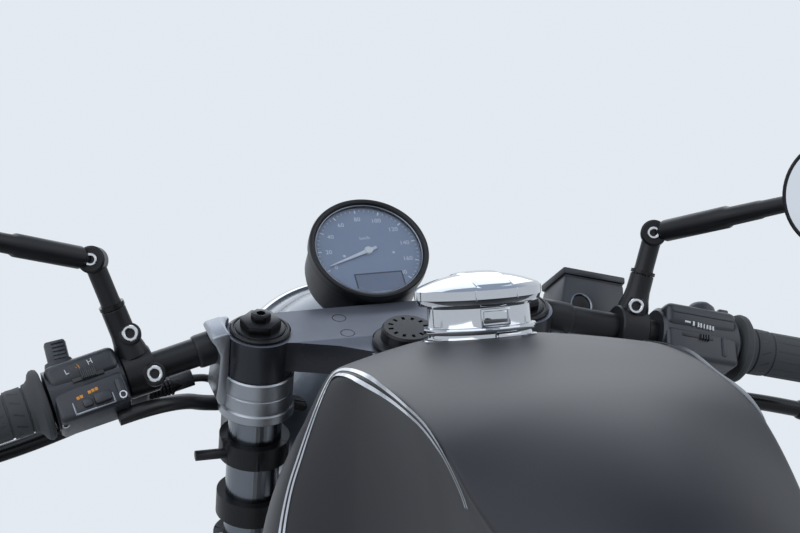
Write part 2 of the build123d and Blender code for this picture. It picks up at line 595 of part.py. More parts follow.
frame_parts.append(rod((-RAIL_X, -560, RAIL_Z + 2), (RAIL_X, -560, RAIL_Z + 2), 10.0))
frame_parts.append(rod((-90, -205, RAIL_Z), (90, -205, RAIL_Z), 12.0))
frame_parts.append(rod((-CRADLE_X, -176, CRADLE_Z), (CRADLE_X, -176, CRADLE_Z), 12.0))
frame = joined(frame_parts)
frame = frame - STEER * rod((0, 0, HEAD_LOW_C - 20), (0, 0, HEAD_TOP_C + 10), HEAD_BORE_R)
frame = frame - rod((-130, STAND_Y, STAND_Z), (130, STAND_Y, STAND_Z), STAND_R + FIT)
frame = frame - rod((-110, PIVOT_Y, PIVOT_Z), (110, PIVOT_Y, PIVOT_Z), 12.0)
save(frame, "frame")

# Engine
case_line = Polyline(
    (0, ENGINE_FACE_Y, 245), (0, ENGINE_FACE_Y, 335), (0, 195, 425), (0, 60, 450), (0, -40, 440), (0, -140, 405),
    (0, -165, 350), (0, -158, 262), (0, -120, ENGINE_FLOOR_Z), (0, 190, ENGINE_FLOOR_Z), close=True)
cases = extrude(make_face(case_line), 68.0, both=True)
cases = cases + disc(68, 152, 105, 322, 92.0) + disc(68, 148, -45, 320, 82.0)
cases = cases + disc(-152, -68, 105, 322, 88.0)
cases = cases + disc(CHAIN_X - 2.5, -60, DRIVE_Y, DRIVE_Z, 14.0)
cases = cases + disc(CHAIN_X - 2.5, CHAIN_X + 2.5, DRIVE_Y, DRIVE_Z, DRIVE_R)
cover = disc(-98, -87, DRIVE_Y, DRIVE_Z, 54.0)
cover = cover + block(-98, -60, -92, -60, 290, 380) + block(-98, -87, -130, -85, 290, 380)
cases = cases + cover
cases = cases + rod((0, ENGINE_FACE_Y - 4, 322), (0, ENGINE_FACE_Y + 36, 318), 30.0)
pan = block(-62, 62, -100, 150, ENGINE_FLOOR_Z - 12, ENGINE_FLOOR_Z + 4)
cases = cases + fillet(pan.edges().filter_by(Axis.Z), 20.0)
save(cases, "engine_cases")


def belt(grow):
    """Closed outline round both sprockets, grown outward."""
    r1 = SPROCKET_R + grow
    r2 = DRIVE_R + grow
    dy = DRIVE_Y - REAR_Y
    dz = DRIVE_Z - REAR_Z
    run = math.hypot(dy, dz)
    base = math.atan2(dz, dy)
    open_angle = math.acos((r1 - r2) / run)
    corners = []
    rear = (REAR_Y, REAR_Z, r1)
    front = (DRIVE_Y, DRIVE_Z, r2)
    for (cy, cz, r), turn in ((rear, 1), (front, 1), (front, -1), (rear, -1)):
        a = base + turn * open_angle
        corners.append((CHAIN_X - CHAIN_W / 2, cy + r * math.cos(a), cz + r * math.sin(a)))
    web = extrude(make_face(Polyline(*corners, close=True)), CHAIN_W, dir=(1, 0, 0))
    x0, x1 = CHAIN_X - CHAIN_W / 2, CHAIN_X + CHAIN_W / 2
    return web + disc(x0, x1, REAR_Y, REAR_Z, r1) + disc(x0, x1, DRIVE_Y, DRIVE_Z, r2)


save(belt(CHAIN_H) - belt(SOFT), "chain")

TILT = Location((0, 95, 440), (-8, 0, 0))
barrels = block(-118, 118, -52, 52, 0.0, 130)
for i in range(8):
    z = 18 + 14 * i
    barrels = barrels + fillet(block(-138, 138, -76, 76, z, z + 3.5).edges().filter_by(Axis.Z), 22.0)
barrels = TILT * barrels - cases
save(barrels, "cylinders")
head = block(-122, 122, -58, 58, 130.2, 200)
for i in range(4):
    z = 140 + 14 * i
    head = head + fillet(block(-140, 140, -80, 80, z, z + 3.5).edges().filter_by(Axis.Z), 22.0)
head = head + fillet(block(-116, 116, -50, 50, 200, 240).edges().filter_by(Axis.Z), 20.0)
for s in (-1, 1):
    for b in (-34, 34):
        head = head + rod((s * 62, b, 236), (s * 62, b, 250), 19.0)
    head = head + rod((s * 110, 0, 222), (s * 126, 0, 222), 16.0)
    head = head + rod((s * 64, -50, 168), (s * 64, -84, 168), 17.0)
    head = head + rod((s * 78, 50, 168), (s * 78, 84, 168), 22.0)
save(TILT * head, "cylinder_head")

# Exhaust
PORT_Y = 95 + 84.2 * math.cos(math.radians(-8)) + 168 * math.sin(math.radians(8))
PORT_Z = 440 + 84.2 * math.sin(math.radians(-8)) + 168 * math.cos(math.radians(8))
pipe_side = bent([
    (78, PORT_Y, PORT_Z), (82, 275, 586), (112, 345, 500), (124, 312, 240), (152, 190, 170), (178, 0, 190),
    (194, -160, 236)], 55.0, 19.0)
pipe_side = pipe_side - TILT * block(-140, 140, -84, 84.2, 120, 215)
muffler = rod((193, -150, 233), (196, -200, 248), 30.0) + rod((196, -195, 247), (202, -700, 318), 42.0)
muffler = muffler - rod((202, -640, 309.5), (202.5, -720, 321), 30.0)
save(pair(pipe_side + muffler), "exhaust")

# Carburettors and filters
carb = rod((64, -84.3, 168), (64, -150, 168), 20.0) + block(46, 82, -136, -98, 138, 196)
carb = TILT * (carb + rod((64, -150, 168), (64, -200, 168), 30.0))
save(pair(carb), "carburettors")

# Fuel tank
tank_faces = []
for y, xc, zc, zt, xs, zs, xb, zb in TANK_PARTS:
    gy = HEAD_Y + y
    h = HEAD_Z
    top = ThreePointArc((xc, gy, h + zc), (0, gy, h + zt), (-xc, gy, h + zc))
    left = ThreePointArc((-xc, gy, h + zc), (-xs, gy, h + zs), (-xb, gy, h + zb))
    base = Line((-xb, gy, h + zb), (xb, gy, h + zb))
    right = ThreePointArc((xb, gy, h + zb), (xs, gy, h + zs), (xc, gy, h + zc))
    tank_faces.append(make_face([top, left, base, right]))
tank = loft(tank_faces)
tunnel = extrude(make_face(Polyline(
    (0, HEAD_Y - 20, HEAD_Z - 56), (0, HEAD_Y - 600, HEAD_Z - 132), (0, HEAD_Y - 600, HEAD_Z - 220),
    (0, HEAD_Y - 20, HEAD_Z - 220), close=True)), TUNNEL_X, both=True)
tank = tank - tunnel
cap_at = Pos(0, HEAD_Y + CAP_Y, HEAD_Z)
tank = tank - cap_at * rod((0, 0, CAP_BASE_Z - 20), (0, 0, CAP_BASE_Z + 30), CAP_BASE_R)
save(tank, "fuel_tank")

# Filler neck and flip lid
filler = rod((0, 0, CAP_BASE_Z - 20), (0, 0, CAP_BASE_Z + 14), CAP_BASE_R - FIT)
filler = filler + rod((0, 0, CAP_BASE_Z + 14), (0, 0, 40), CAP_BARREL_R)
filler = filler + block(-9, 9, -CAP_BARREL_R - 8, -CAP_BARREL_R + 4, 20, 38)
filler = filler - rod((0, 0, CAP_BASE_Z - 6), (0, 0, 41), 28.0)
for s in (-1, 1):
    x0, x1 = sorted((s * 6.0, s * 11.0))
    filler = filler + block(x0, x1, 36, 53, 26, 36) + block(x0, x1, 44.6, 53, 30, 47)
filler = filler + disc(-11, 11, CAP_PIN_Y, CAP_PIN_Z, 2.5)
save(cap_at * filler, "filler_neck")
lid = rod((0, 0, 40.2), (0, 0, 48), CAP_LID_R)
lid = lid + (Pos(0, 0, -14) * Sphere(76.0) & rod((0, 0, 48), (0, 0, 80), CAP_LID_R - 1))
lid = lid - rod((0, 0, 40), (0, 0, 44), 26.0)
lid = lid - block(-12, 12, 40, 60, 38, 80)
lid = lid + block(-5.7, 5.7, 36, CAP_PIN_Y, 40.2, 46) + disc(-5.7, 5.7, CAP_PIN_Y, CAP_PIN_Z, 4.8)
lid = lid - disc(-6, 6, CAP_PIN_Y, CAP_PIN_Z, 2.5 + FIT)
save(cap_at * lid, "filler_lid")

# Seat pad and hump
SEAT_LOW = RAIL_Z + RAIL_R + SOFT
seat = block(-104, 104, -462, -196, SEAT_LOW, SEAT_LOW + SEAT_H)
seat = fillet(seat.edges().filter_by(Axis.Y).group_by(Axis.Z)[-1], 28.0)
save(seat, "seat_pad")
HUMP_ROWS = [
    # y, half width, low and top above the rail's middle
    (-463, 106, 13.2, 132), (-530, 114, 14.9, 150), (-640, 112, 19.0, 148), (-760, 96, 22.8, 124),
    (-880, 54, 26.6, 88),
]
hump_faces = []
for y, hw, low, high in HUMP_ROWS:
    z0 = RAIL_Z + low
    z1 = RAIL_Z + high
    side = z0 + (z1 - z0) * 0.62
    hump_faces.append(make_face([
        Line((-hw, y, z0), (hw, y, z0)), Line((hw, y, z0), (hw, y, side)),
        ThreePointArc((hw, y, side), (0, y, z1), (-hw, y, side)), Line((-hw, y, side), (-hw, y, z0))]))
hump = loft(hump_faces)
save(hump, "seat_hump")

# Swingarm with pivot tube, shock pins and rear axle
arm_parts = [rod((-97, PIVOT_Y, PIVOT_Z), (97, PIVOT_Y, PIVOT_Z), 12.0 - FIT)]
arm_parts.append(rod((-82, PIVOT_Y, PIVOT_Z), (82, PIVOT_Y, PIVOT_Z), 22.0))
arm_parts.append(rod((-ARM_X, -318, PIVOT_Z), (ARM_X, -318, PIVOT_Z), 20.0))
for s in (-1, 1):
    middle = s * ARM_X
    arm = block(middle - ARM_W / 2, middle + ARM_W / 2, -770, -300, PIVOT_Z - ARM_H / 2, PIVOT_Z + ARM_H / 2)
    link = block(min(s * 40, s * 62), max(s * 40, s * 62), -330, PIVOT_Y, PIVOT_Z - 20, PIVOT_Z + 20)
    shock_ear = block(min(s * 100, s * 120), max(s * 100, s * 120), -656, -624, PIVOT_Z, PIVOT_Z + 62)
    arm_parts = arm_parts + [arm, link, shock_ear]
    arm_parts.append(rod((s * 110, -640, PIVOT_Z + 46), (s * 152, -640, PIVOT_Z + 46), 8.0))
    arm_parts.append(rod((s * 84.3, REAR_Y, PIVOT_Z), (s * 100, REAR_Y, PIVOT_Z), 15.0))
swingarm = joined(arm_parts)
swingarm = swingarm - block(-90, -62, -340, -296, PIVOT_Z - 60, PIVOT_Z + 60)
swingarm = swingarm + rod((-140, REAR_Y, PIVOT_Z), (140, REAR_Y, PIVOT_Z), 10.0)
save(swingarm, "swingarm")

# Twin shocks
SHOCK_LOW = (136.0, -640.0, PIVOT_Z + 46)
SHOCK_TOP = (136.0, -548.0, RAIL_Z + 2)
shock_run = Vector(*SHOCK_TOP) - Vector(*SHOCK_LOW)
shock_up = Plane(origin=SHOCK_LOW, x_dir=(1, 0, 0), z_dir=shock_run)
spring = [(0, 36), (26, 36), (26, 44)]
for i in range(9):
    base = 48 + 26 * i
    spring = spring + [(17, base), (23, base + 5), (25, base + 9), (23, base + 13), (17, base + 18)]
spring = spring + [(17, 290), (26, 290), (26, 300), (18, 304), (18, 330), (0, 330)]
spring_face = make_face(Polyline(*[(r, 0, h) for r, h in spring], close=True))
shock = rod(SHOCK_LOW, SHOCK_TOP, 7.0) + shock_up * revolve(spring_face, Axis.Z)
for x, y, z in (SHOCK_LOW, SHOCK_TOP):
    shock = shock + disc(x - 12, x + 12, y, z, 16.0)
for x, y, z in (SHOCK_LOW, SHOCK_TOP):
    shock = shock - disc(x - 20, x + 20, y, z, 8.0 + FIT)
save(pair(shock), "shocks")

# Rear brake caliper on the right arm
rear_caliper = block(58, 92, -660, -600, 414, 470)
rear_caliper = fillet(rear_caliper.edges().filter_by(Axis.X), 10.0)
rear_caliper = rear_caliper + block(84, 118, -618, -598, PIVOT_Z + ARM_H / 2, 420)
rear_caliper = rear_caliper - disc(67.5, 77.5, REAR_Y, REAR_Z, 131.0)
save(rear_caliper, "rear_caliper")

# Rear fender, lamp and plate bracket
wall = REAR_R - 13
lip = REAR_R + 5
crown = REAR_R + 27
rear_face = make_face([
    Line((-68, wall), (-68, lip)), ThreePointArc((-68, lip), (0, crown), (68, lip)), Line((68, lip), (68, wall)),
    Line((68, wall), (65, wall)), Line((65, wall), (65, lip - 1)),
    ThreePointArc((65, lip - 1), (0, crown - 3), (-65, lip - 1)),
    Line((-65, lip - 1), (-65, wall)), Line((-65, wall), (-68, wall))])
rear_fender = Pos(*REAR_AXLE) * Rot(38, 0, 0) * revolve(rear_face, Axis.X, revolution_arc=80)
hanger = block(-20, 20, -567, -553, 640, RAIL_Z - 4) - disc(-60, 60, REAR_Y, REAR_Z, crown - 2.5)
rear_fender = rear_fender + hanger
rear_fender = rear_fender - rod((-30, -560, RAIL_Z + 2), (30, -560, RAIL_Z + 2), 10.0)
save(rear_fender, "rear_fender")
lamp_tail = rod((0, -880.3, RAIL_Z + 56), (0, -904, RAIL_Z + 56), 26.0)
save(lamp_tail, "tail_lamp")
PLATE_TOP = RAIL_Z - 6
plate = block(-90, 90, -934, -930, PLATE_TOP - 120, PLATE_TOP)
plate = plate + block(-14, 14, -930, -800, PLATE_TOP - 10, PLATE_TOP - 2)
plate = plate + block(-14, 14, -806, -784, PLATE_TOP - 10, PLATE_TOP + 4)
for s in (-1, 1):
    plate = plate - rod((s * 60, -940, PLATE_TOP - 17), (s * 60, -925, PLATE_TOP - 17), 3.5)
plate = plate - rod((-30, -788, RAIL_Z + 10), (30, -788, RAIL_Z + 10), RAIL_R)
save(plate, "plate_bracket")

# Electrics box under the seat
box = block(-78, 78, -398, -232, 520, RAIL_Z - 10)
box = fillet(box.edges().filter_by(Axis.X), 14.0)
box = box - disc(-90, 90, REAR_Y, REAR_Z, crown + 8)
save(box, "electrics_box")

# Footrests with gear and brake pedals
plate_x = LEG_X + 14.8
rest = block(plate_x, plate_x + 8, -292, -216, 306, 402) + rod((plate_x, -262, 388), (212, -270, 392), 11.0)
rest = rest + rod((plate_x, -232, 322), (166, -232, 322), 9.0)
rest = rest + bent([(162, -232, 322), (162, -120, 336), (162, -70, 333)], 20.0, 6.0)
rest = rest + rod((162, -74, 333), (206, -74, 333), 8.0)
save(pair(rest), "footrests")

# Centre stand
stand_parts = [rod((-118, STAND_Y, STAND_Z), (118, STAND_Y, STAND_Z), STAND_R)]
for s in (-1, 1):
    stand_parts.append(rod((s * 112, STAND_Y, STAND_Z + 4), (s * 146, STAND_Y + 6, 10), 11.0))
    stand_parts.append(block(min(s * 128, s * 168), max(s * 128, s * 168), STAND_Y - 16, STAND_Y + 34, 0, 10))
stand_parts.append(rod((-130, STAND_Y + 3, 80), (130, STAND_Y + 3, 80), 9.0))
stand = joined(stand_parts)
save(stand, "centre_stand")
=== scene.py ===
"""Cafe racer motorcycle: finishes, modelled detail and the view of its cockpit."""
import json
import logging
import math
from collections.abc import Callable, Sequence
from dataclasses import dataclass
from enum import Enum

import bpy
from mathutils import Matrix, Vector

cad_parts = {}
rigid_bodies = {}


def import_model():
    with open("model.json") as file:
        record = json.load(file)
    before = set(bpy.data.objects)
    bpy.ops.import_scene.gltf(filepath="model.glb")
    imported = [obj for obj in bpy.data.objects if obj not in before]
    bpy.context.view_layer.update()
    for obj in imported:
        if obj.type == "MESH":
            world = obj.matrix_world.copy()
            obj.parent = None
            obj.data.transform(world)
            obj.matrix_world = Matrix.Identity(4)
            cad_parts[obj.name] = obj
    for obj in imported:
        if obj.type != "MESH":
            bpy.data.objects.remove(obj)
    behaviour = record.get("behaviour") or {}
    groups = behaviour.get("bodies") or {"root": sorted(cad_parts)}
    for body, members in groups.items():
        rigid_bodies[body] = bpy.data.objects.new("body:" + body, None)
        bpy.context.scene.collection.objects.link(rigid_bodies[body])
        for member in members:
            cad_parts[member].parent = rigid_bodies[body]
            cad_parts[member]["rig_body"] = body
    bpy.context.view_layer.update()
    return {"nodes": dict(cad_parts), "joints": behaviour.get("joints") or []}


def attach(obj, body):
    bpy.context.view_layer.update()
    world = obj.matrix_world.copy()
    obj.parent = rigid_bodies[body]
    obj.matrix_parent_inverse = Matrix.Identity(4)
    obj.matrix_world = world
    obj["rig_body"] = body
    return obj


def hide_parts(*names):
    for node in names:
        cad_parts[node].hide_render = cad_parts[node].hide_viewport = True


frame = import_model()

logging.basicConfig(level=logging.INFO, format="%(message)s")
LOG = logging.getLogger("motorcycle")
Point = tuple[float, float, float]
Pair = tuple[float, float]
MM = 0.001
POLE = 1e-5
MERGE = 3e-5
PHOTO_WIDTH = 800


class Grain(Enum):
    """How a surface is broken up when looked at closely."""

    GLOSS = "gloss"
    CAST = "cast"
    BRUSHED = "brushed"
    SATIN = "satin"
    RUBBER = "rubber"
    LEATHER = "leather"


@dataclass(frozen=True)
class Finish:
    """One finish of the machine, made as a procedural material."""

    name: str
    colour: Point
    second: Point
    roughness: float
    grain: Grain = Grain.SATIN
    metallic: float = 0.0
    spread: float = 0.08
    scale: float = 60.0
    relief: float = 0.1
    coat: float = 0.0
    sheen: float = 0.0
    edge: float = 0.0
    glass: float = 0.0
    index: float = 1.5

    def build(self) -> bpy.types.Material:
        """Make the material once and hand it out again later.

        Returns:
            The material with its node tree.
        """
        found = bpy.data.materials.get(self.name)
        if found:
            return found
        made = bpy.data.materials.new(self.name)
        made.use_nodes = True
        tree = made.node_tree
        shader = tree.nodes["Principled BSDF"]
        shader.inputs["Metallic"].default_value = self.metallic
        shader.inputs["Coat Weight"].default_value = self.coat
        shader.inputs["Coat Roughness"].default_value = 0.03
        shader.inputs["IOR"].default_value = self.index
        shader.inputs["Coat IOR"].default_value = self.index
        shader.inputs["Sheen Weight"].default_value = self.sheen
        shader.inputs["Transmission Weight"].default_value = self.glass
        place = tree.nodes.new("ShaderNodeTexCoord")
        pattern = self.pattern(tree, place.outputs["Object"])
        cloud = self.noise(tree, place.outputs["Object"], self.scale * 0.12, 3.0)
        self.tint(tree, shader, pattern, cloud)
        self.polish(tree, shader, cloud)
        self.raise_grain(tree, shader, pattern)
        return made

    @staticmethod
    def noise(tree: bpy.types.NodeTree, source: bpy.types.NodeSocket, scale: float,
              detail: float) -> bpy.types.NodeSocket:
        """Add a noise texture.

        Args:
            tree: The material's nodes.
            source: Where its coordinates come from.
            scale: Cells per metre.
            detail: How many finer layers it has.

        Returns:
            The grey value of the noise.
        """
        node = tree.nodes.new("ShaderNodeTexNoise")
        node.inputs["Scale"].default_value = scale
        node.inputs["Detail"].default_value = detail
        tree.links.new(source, node.inputs["Vector"])
        return node.outputs["Fac"]

    def pattern(self, tree: bpy.types.NodeTree, source: bpy.types.NodeSocket) -> bpy.types.NodeSocket:
        """Add the texture that this finish's grain calls for."""
        if self.grain is Grain.LEATHER:
            cells = tree.nodes.new("ShaderNodeTexVoronoi")
            cells.feature = "DISTANCE_TO_EDGE"
            cells.inputs["Scale"].default_value = self.scale
            tree.links.new(source, cells.inputs["Vector"])
            return cells.outputs["Distance"]
        if self.grain is Grain.BRUSHED:
            stretch = tree.nodes.new("ShaderNodeMapping")
            stretch.inputs["Scale"].default_value = (0.06, 1.0, 1.0)
            tree.links.new(source, stretch.inputs["Vector"])
            source = stretch.outputs["Vector"]
        return self.noise(tree, source, self.scale * 10, 2.0 if self.grain is Grain.GLOSS else 6.0)

    def tint(self, tree: bpy.types.NodeTree, shader: bpy.types.Node, pattern: bpy.types.NodeSocket,
             cloud: bpy.types.NodeSocket) -> None:
        """Vary the colour between the finish's two tones."""
        both = tree.nodes.new("ShaderNodeMath")
        both.operation = "MULTIPLY_ADD"
        both.inputs[1].default_value = 0.35
        tree.links.new(pattern, both.inputs[0])
        spread = tree.nodes.new("ShaderNodeMapRange")
        spread.inputs["From Min"].default_value = 0.35
        spread.inputs["From Max"].default_value = 0.65
        spread.inputs["To Max"].default_value = 0.65
        tree.links.new(cloud, spread.inputs["Value"])
        tree.links.new(spread.outputs["Result"], both.inputs[2])
        mix = tree.nodes.new("ShaderNodeMix")
        mix.data_type = "RGBA"
        mix.inputs["A"].default_value = (*self.colour, 1)
        mix.inputs["B"].default_value = (*self.second, 1)
        tree.links.new(both.outputs["Value"], mix.inputs["Factor"])
        tree.links.new(mix.outputs["Result"], shader.inputs["Base Color"])

    def polish(self, tree: bpy.types.NodeTree, shader: bpy.types.Node, cloud: bpy.types.NodeSocket) -> None:
        """Let the roughness drift about its value, as handled surfaces do."""
        drift = tree.nodes.new("ShaderNodeMapRange")
        drift.inputs["From Min"].default_value = 0.3
        drift.inputs["From Max"].default_value = 0.7
        drift.inputs["To Min"].default_value = max(self.roughness - self.spread, 0.02)
        drift.inputs["To Max"].default_value = self.roughness + self.spread
        tree.links.new(cloud, drift.inputs["Value"])
        tree.links.new(drift.outputs["Result"], shader.inputs["Roughness"])

    def raise_grain(self, tree: bpy.types.NodeTree, shader: bpy.types.Node,
                    pattern: bpy.types.NodeSocket) -> None:
        """Turn the grain into relief, over edges that catch the light."""
        relief = tree.nodes.new("ShaderNodeBump")
        relief.inputs["Strength"].default_value = self.relief
        relief.inputs["Distance"].default_value = 0.4 * MM
        tree.links.new(pattern, relief.inputs["Height"])
        tree.links.new(relief.outputs["Normal"], shader.inputs["Normal"])
        if self.edge:
            rounded = tree.nodes.new("ShaderNodeBevel")
            rounded.samples = 4
            rounded.inputs["Radius"].default_value = self.edge
            tree.links.new(rounded.outputs["Normal"], relief.inputs["Normal"])


SATIN_BLACK = Finish("satin_black", (0.008, 0.0085, 0.01), (0.014, 0.0145, 0.017), 0.38, scale=160,
                     relief=0.1, index=1.34)
YOKE_BLACK = Finish("anodised_black", (0.022, 0.024, 0.03), (0.03, 0.032, 0.039), 0.27, Grain.CAST, 0.2,
                    scale=220, relief=0.06, edge=0.6 * MM, index=1.4)
HARD_BLACK = Finish("black_oxide", (0.006, 0.006, 0.007), (0.014, 0.014, 0.016), 0.26, metallic=0.3,
                    scale=120, relief=0.05, edge=0.4 * MM, index=1.36)
SWITCH_BLACK = Finish("moulded_black", (0.015, 0.018, 0.025), (0.023, 0.026, 0.035), 0.34, Grain.CAST,
                      scale=300, relief=0.2)
# Greyer moulding for keys and ribs; the same finish paints the shade along the display window's inset edges.
SLATE_BLACK = Finish("worn_moulding_and_painted_shade", (0.03, 0.034, 0.042), (0.042, 0.046, 0.055), 0.4, Grain.CAST, scale=300,
                     relief=0.2)
GRIP_RUBBER = Finish("grip_rubber", (0.012, 0.013, 0.016), (0.022, 0.024, 0.028), 0.5, Grain.RUBBER,
                     scale=200, relief=0.2, sheen=0.15)
# Black rubber of hoses, cables, gasket and switch seam; also painted shade in the stem nut's slots, the
# switches' slots and well, and the grip's slash grooves.
HOSE_RUBBER_AND_SHADE = Finish("hose_rubber_and_painted_shade", (0.012, 0.012, 0.013), (0.02, 0.02, 0.022), 0.4, Grain.RUBBER, scale=150,
                     relief=0.1)
TYRE_RUBBER = Finish("tyre_rubber", (0.02, 0.02, 0.021), (0.035, 0.034, 0.033), 0.72, Grain.RUBBER, scale=90,
                     relief=0.3)
CLAMP_SILVER = Finish("bead_blasted_alloy", (0.3, 0.315, 0.34), (0.36, 0.375, 0.4), 0.36, Grain.CAST, 0.9,
                      scale=260, relief=0.1, edge=0.5 * MM)
CAST_ALLOY = Finish("cast_alloy", (0.4, 0.4, 0.4), (0.5, 0.5, 0.5), 0.42, Grain.CAST, 0.85, scale=120,
                    relief=0.35, edge=0.8 * MM)
ENGINE_BLACK = Finish("engine_black", (0.02, 0.02, 0.021), (0.035, 0.034, 0.033), 0.5, Grain.CAST, 0.1,
                      scale=120, relief=0.4, edge=0.6 * MM)
CHROME = Finish("chrome", (0.58, 0.595, 0.62), (0.5, 0.515, 0.54), 0.05, Grain.GLOSS, 1.0, 0.04, 30, 0.015)
PIPE_CHROME = Finish("pipe_chrome", (0.66, 0.62, 0.56), (0.55, 0.5, 0.44), 0.12, Grain.GLOSS, 1.0, 0.06, 14,
                     0.02)
FORK_GREY = Finish("hard_chrome", (0.2, 0.215, 0.24), (0.16, 0.175, 0.195), 0.22, Grain.BRUSHED, 1.0, 0.05,
                   30, 0.03)
STEEL = Finish("ground_steel", (0.5, 0.5, 0.51), (0.42, 0.42, 0.43), 0.26, Grain.BRUSHED, 1.0, 0.06, 60, 0.12)
BOLT_STEEL = Finish("bolt_steel", (0.68, 0.69, 0.7), (0.55, 0.56, 0.57), 0.2, Grain.SATIN, 1.0, 0.06, 80,
                    0.05)
CHAIN_STEEL = Finish("oiled_steel", (0.2, 0.18, 0.15), (0.3, 0.28, 0.24), 0.35, Grain.CAST, 0.9, 0.1, 90, 0.2)
TANK_BLACK = Finish("tank_black", (0.003, 0.003, 0.0035), (0.006, 0.006, 0.007), 0.04, Grain.GLOSS, 0.0,
                    0.015, 12, 0.006, coat=1.0, index=2.5)
FRAME_BLACK = Finish("frame_black", (0.008, 0.008, 0.009), (0.014, 0.014, 0.015), 0.18, Grain.GLOSS, 0.0,
                     0.05, 25, 0.03, coat=0.7)
STRIPE_SILVER = Finish("stripe_silver", (0.72, 0.75, 0.8), (0.6, 0.63, 0.68), 0.3, Grain.SATIN, 0.2, 0.04,
                       200, 0.05, coat=0.8)
LAMP_GREY = Finish("lamp_grey", (0.17, 0.195, 0.235), (0.2, 0.225, 0.265), 0.36, Grain.CAST, 0.35, 0.05, 400,
                   0.05, coat=0.3)
SEAT_HIDE = Finish("seat_hide", (0.016, 0.016, 0.017), (0.03, 0.029, 0.029), 0.5, Grain.LEATHER, 0.0, 0.08,
                   420, 0.35, sheen=0.1)
DIAL_SLATE = Finish("dial_slate", (0.25, 0.3, 0.4), (0.27, 0.32, 0.42), 0.5, Grain.SATIN, 0.0, 0.05, 300,
                    0.05)
DISPLAY = Finish("display_window", (0.17, 0.2, 0.28), (0.19, 0.22, 0.3), 0.3, Grain.GLOSS, 0.0, 0.03, 300,
                 0.02)
MARK_WHITE = Finish("mark_white", (0.78, 0.8, 0.83), (0.7, 0.72, 0.76), 0.5, scale=400, relief=0.04)
MARK_ORANGE = Finish("mark_orange", (0.8, 0.33, 0.03), (0.72, 0.27, 0.02), 0.5, scale=400, relief=0.04)
PLATE_PALE = Finish("blank_plate", (0.62, 0.63, 0.6), (0.58, 0.59, 0.56), 0.35, Grain.GLOSS, 0.0, 0.05, 60,
                    0.03)
# Lighter copy of the anodised black for the yoke's upward faces: painted sheen of the sky on its top.
YOKE_TOP_SHEEN = Finish("yoke_top_painted_sheen", (0.11, 0.12, 0.15), (0.13, 0.14, 0.172), 0.34, Grain.CAST, 0.35,
                  scale=220, relief=0.05)
MIRROR_FACE = Finish("mirror_silver", (0.78, 0.81, 0.84), (0.76, 0.79, 0.82), 0.03, Grain.GLOSS, 1.0, 0.01,
                     10, 0.0)
CLEAR_GLASS = Finish("clear_glass", (0.95, 0.97, 1.0), (0.9, 0.93, 0.97), 0.03, Grain.GLOSS, 0.0, 0.01, 20,
                     0.01, glass=1.0)
RED_LENS = Finish("red_lens", (0.5, 0.01, 0.01), (0.4, 0.008, 0.008), 0.1, Grain.GLOSS, 0.0, 0.03, 80, 0.05,
                  coat=1.0)
SPRING_BLACK = Finish("spring_black", (0.015, 0.015, 0.017), (0.024, 0.024, 0.026), 0.3, scale=70,
                      relief=0.08, coat=0.3)
FLOOR_PALE = Finish("floor_pale", (0.5, 0.52, 0.545), (0.52, 0.54, 0.565), 0.7, Grain.SATIN, 0.0, 0.06, 3,
                    0.02)


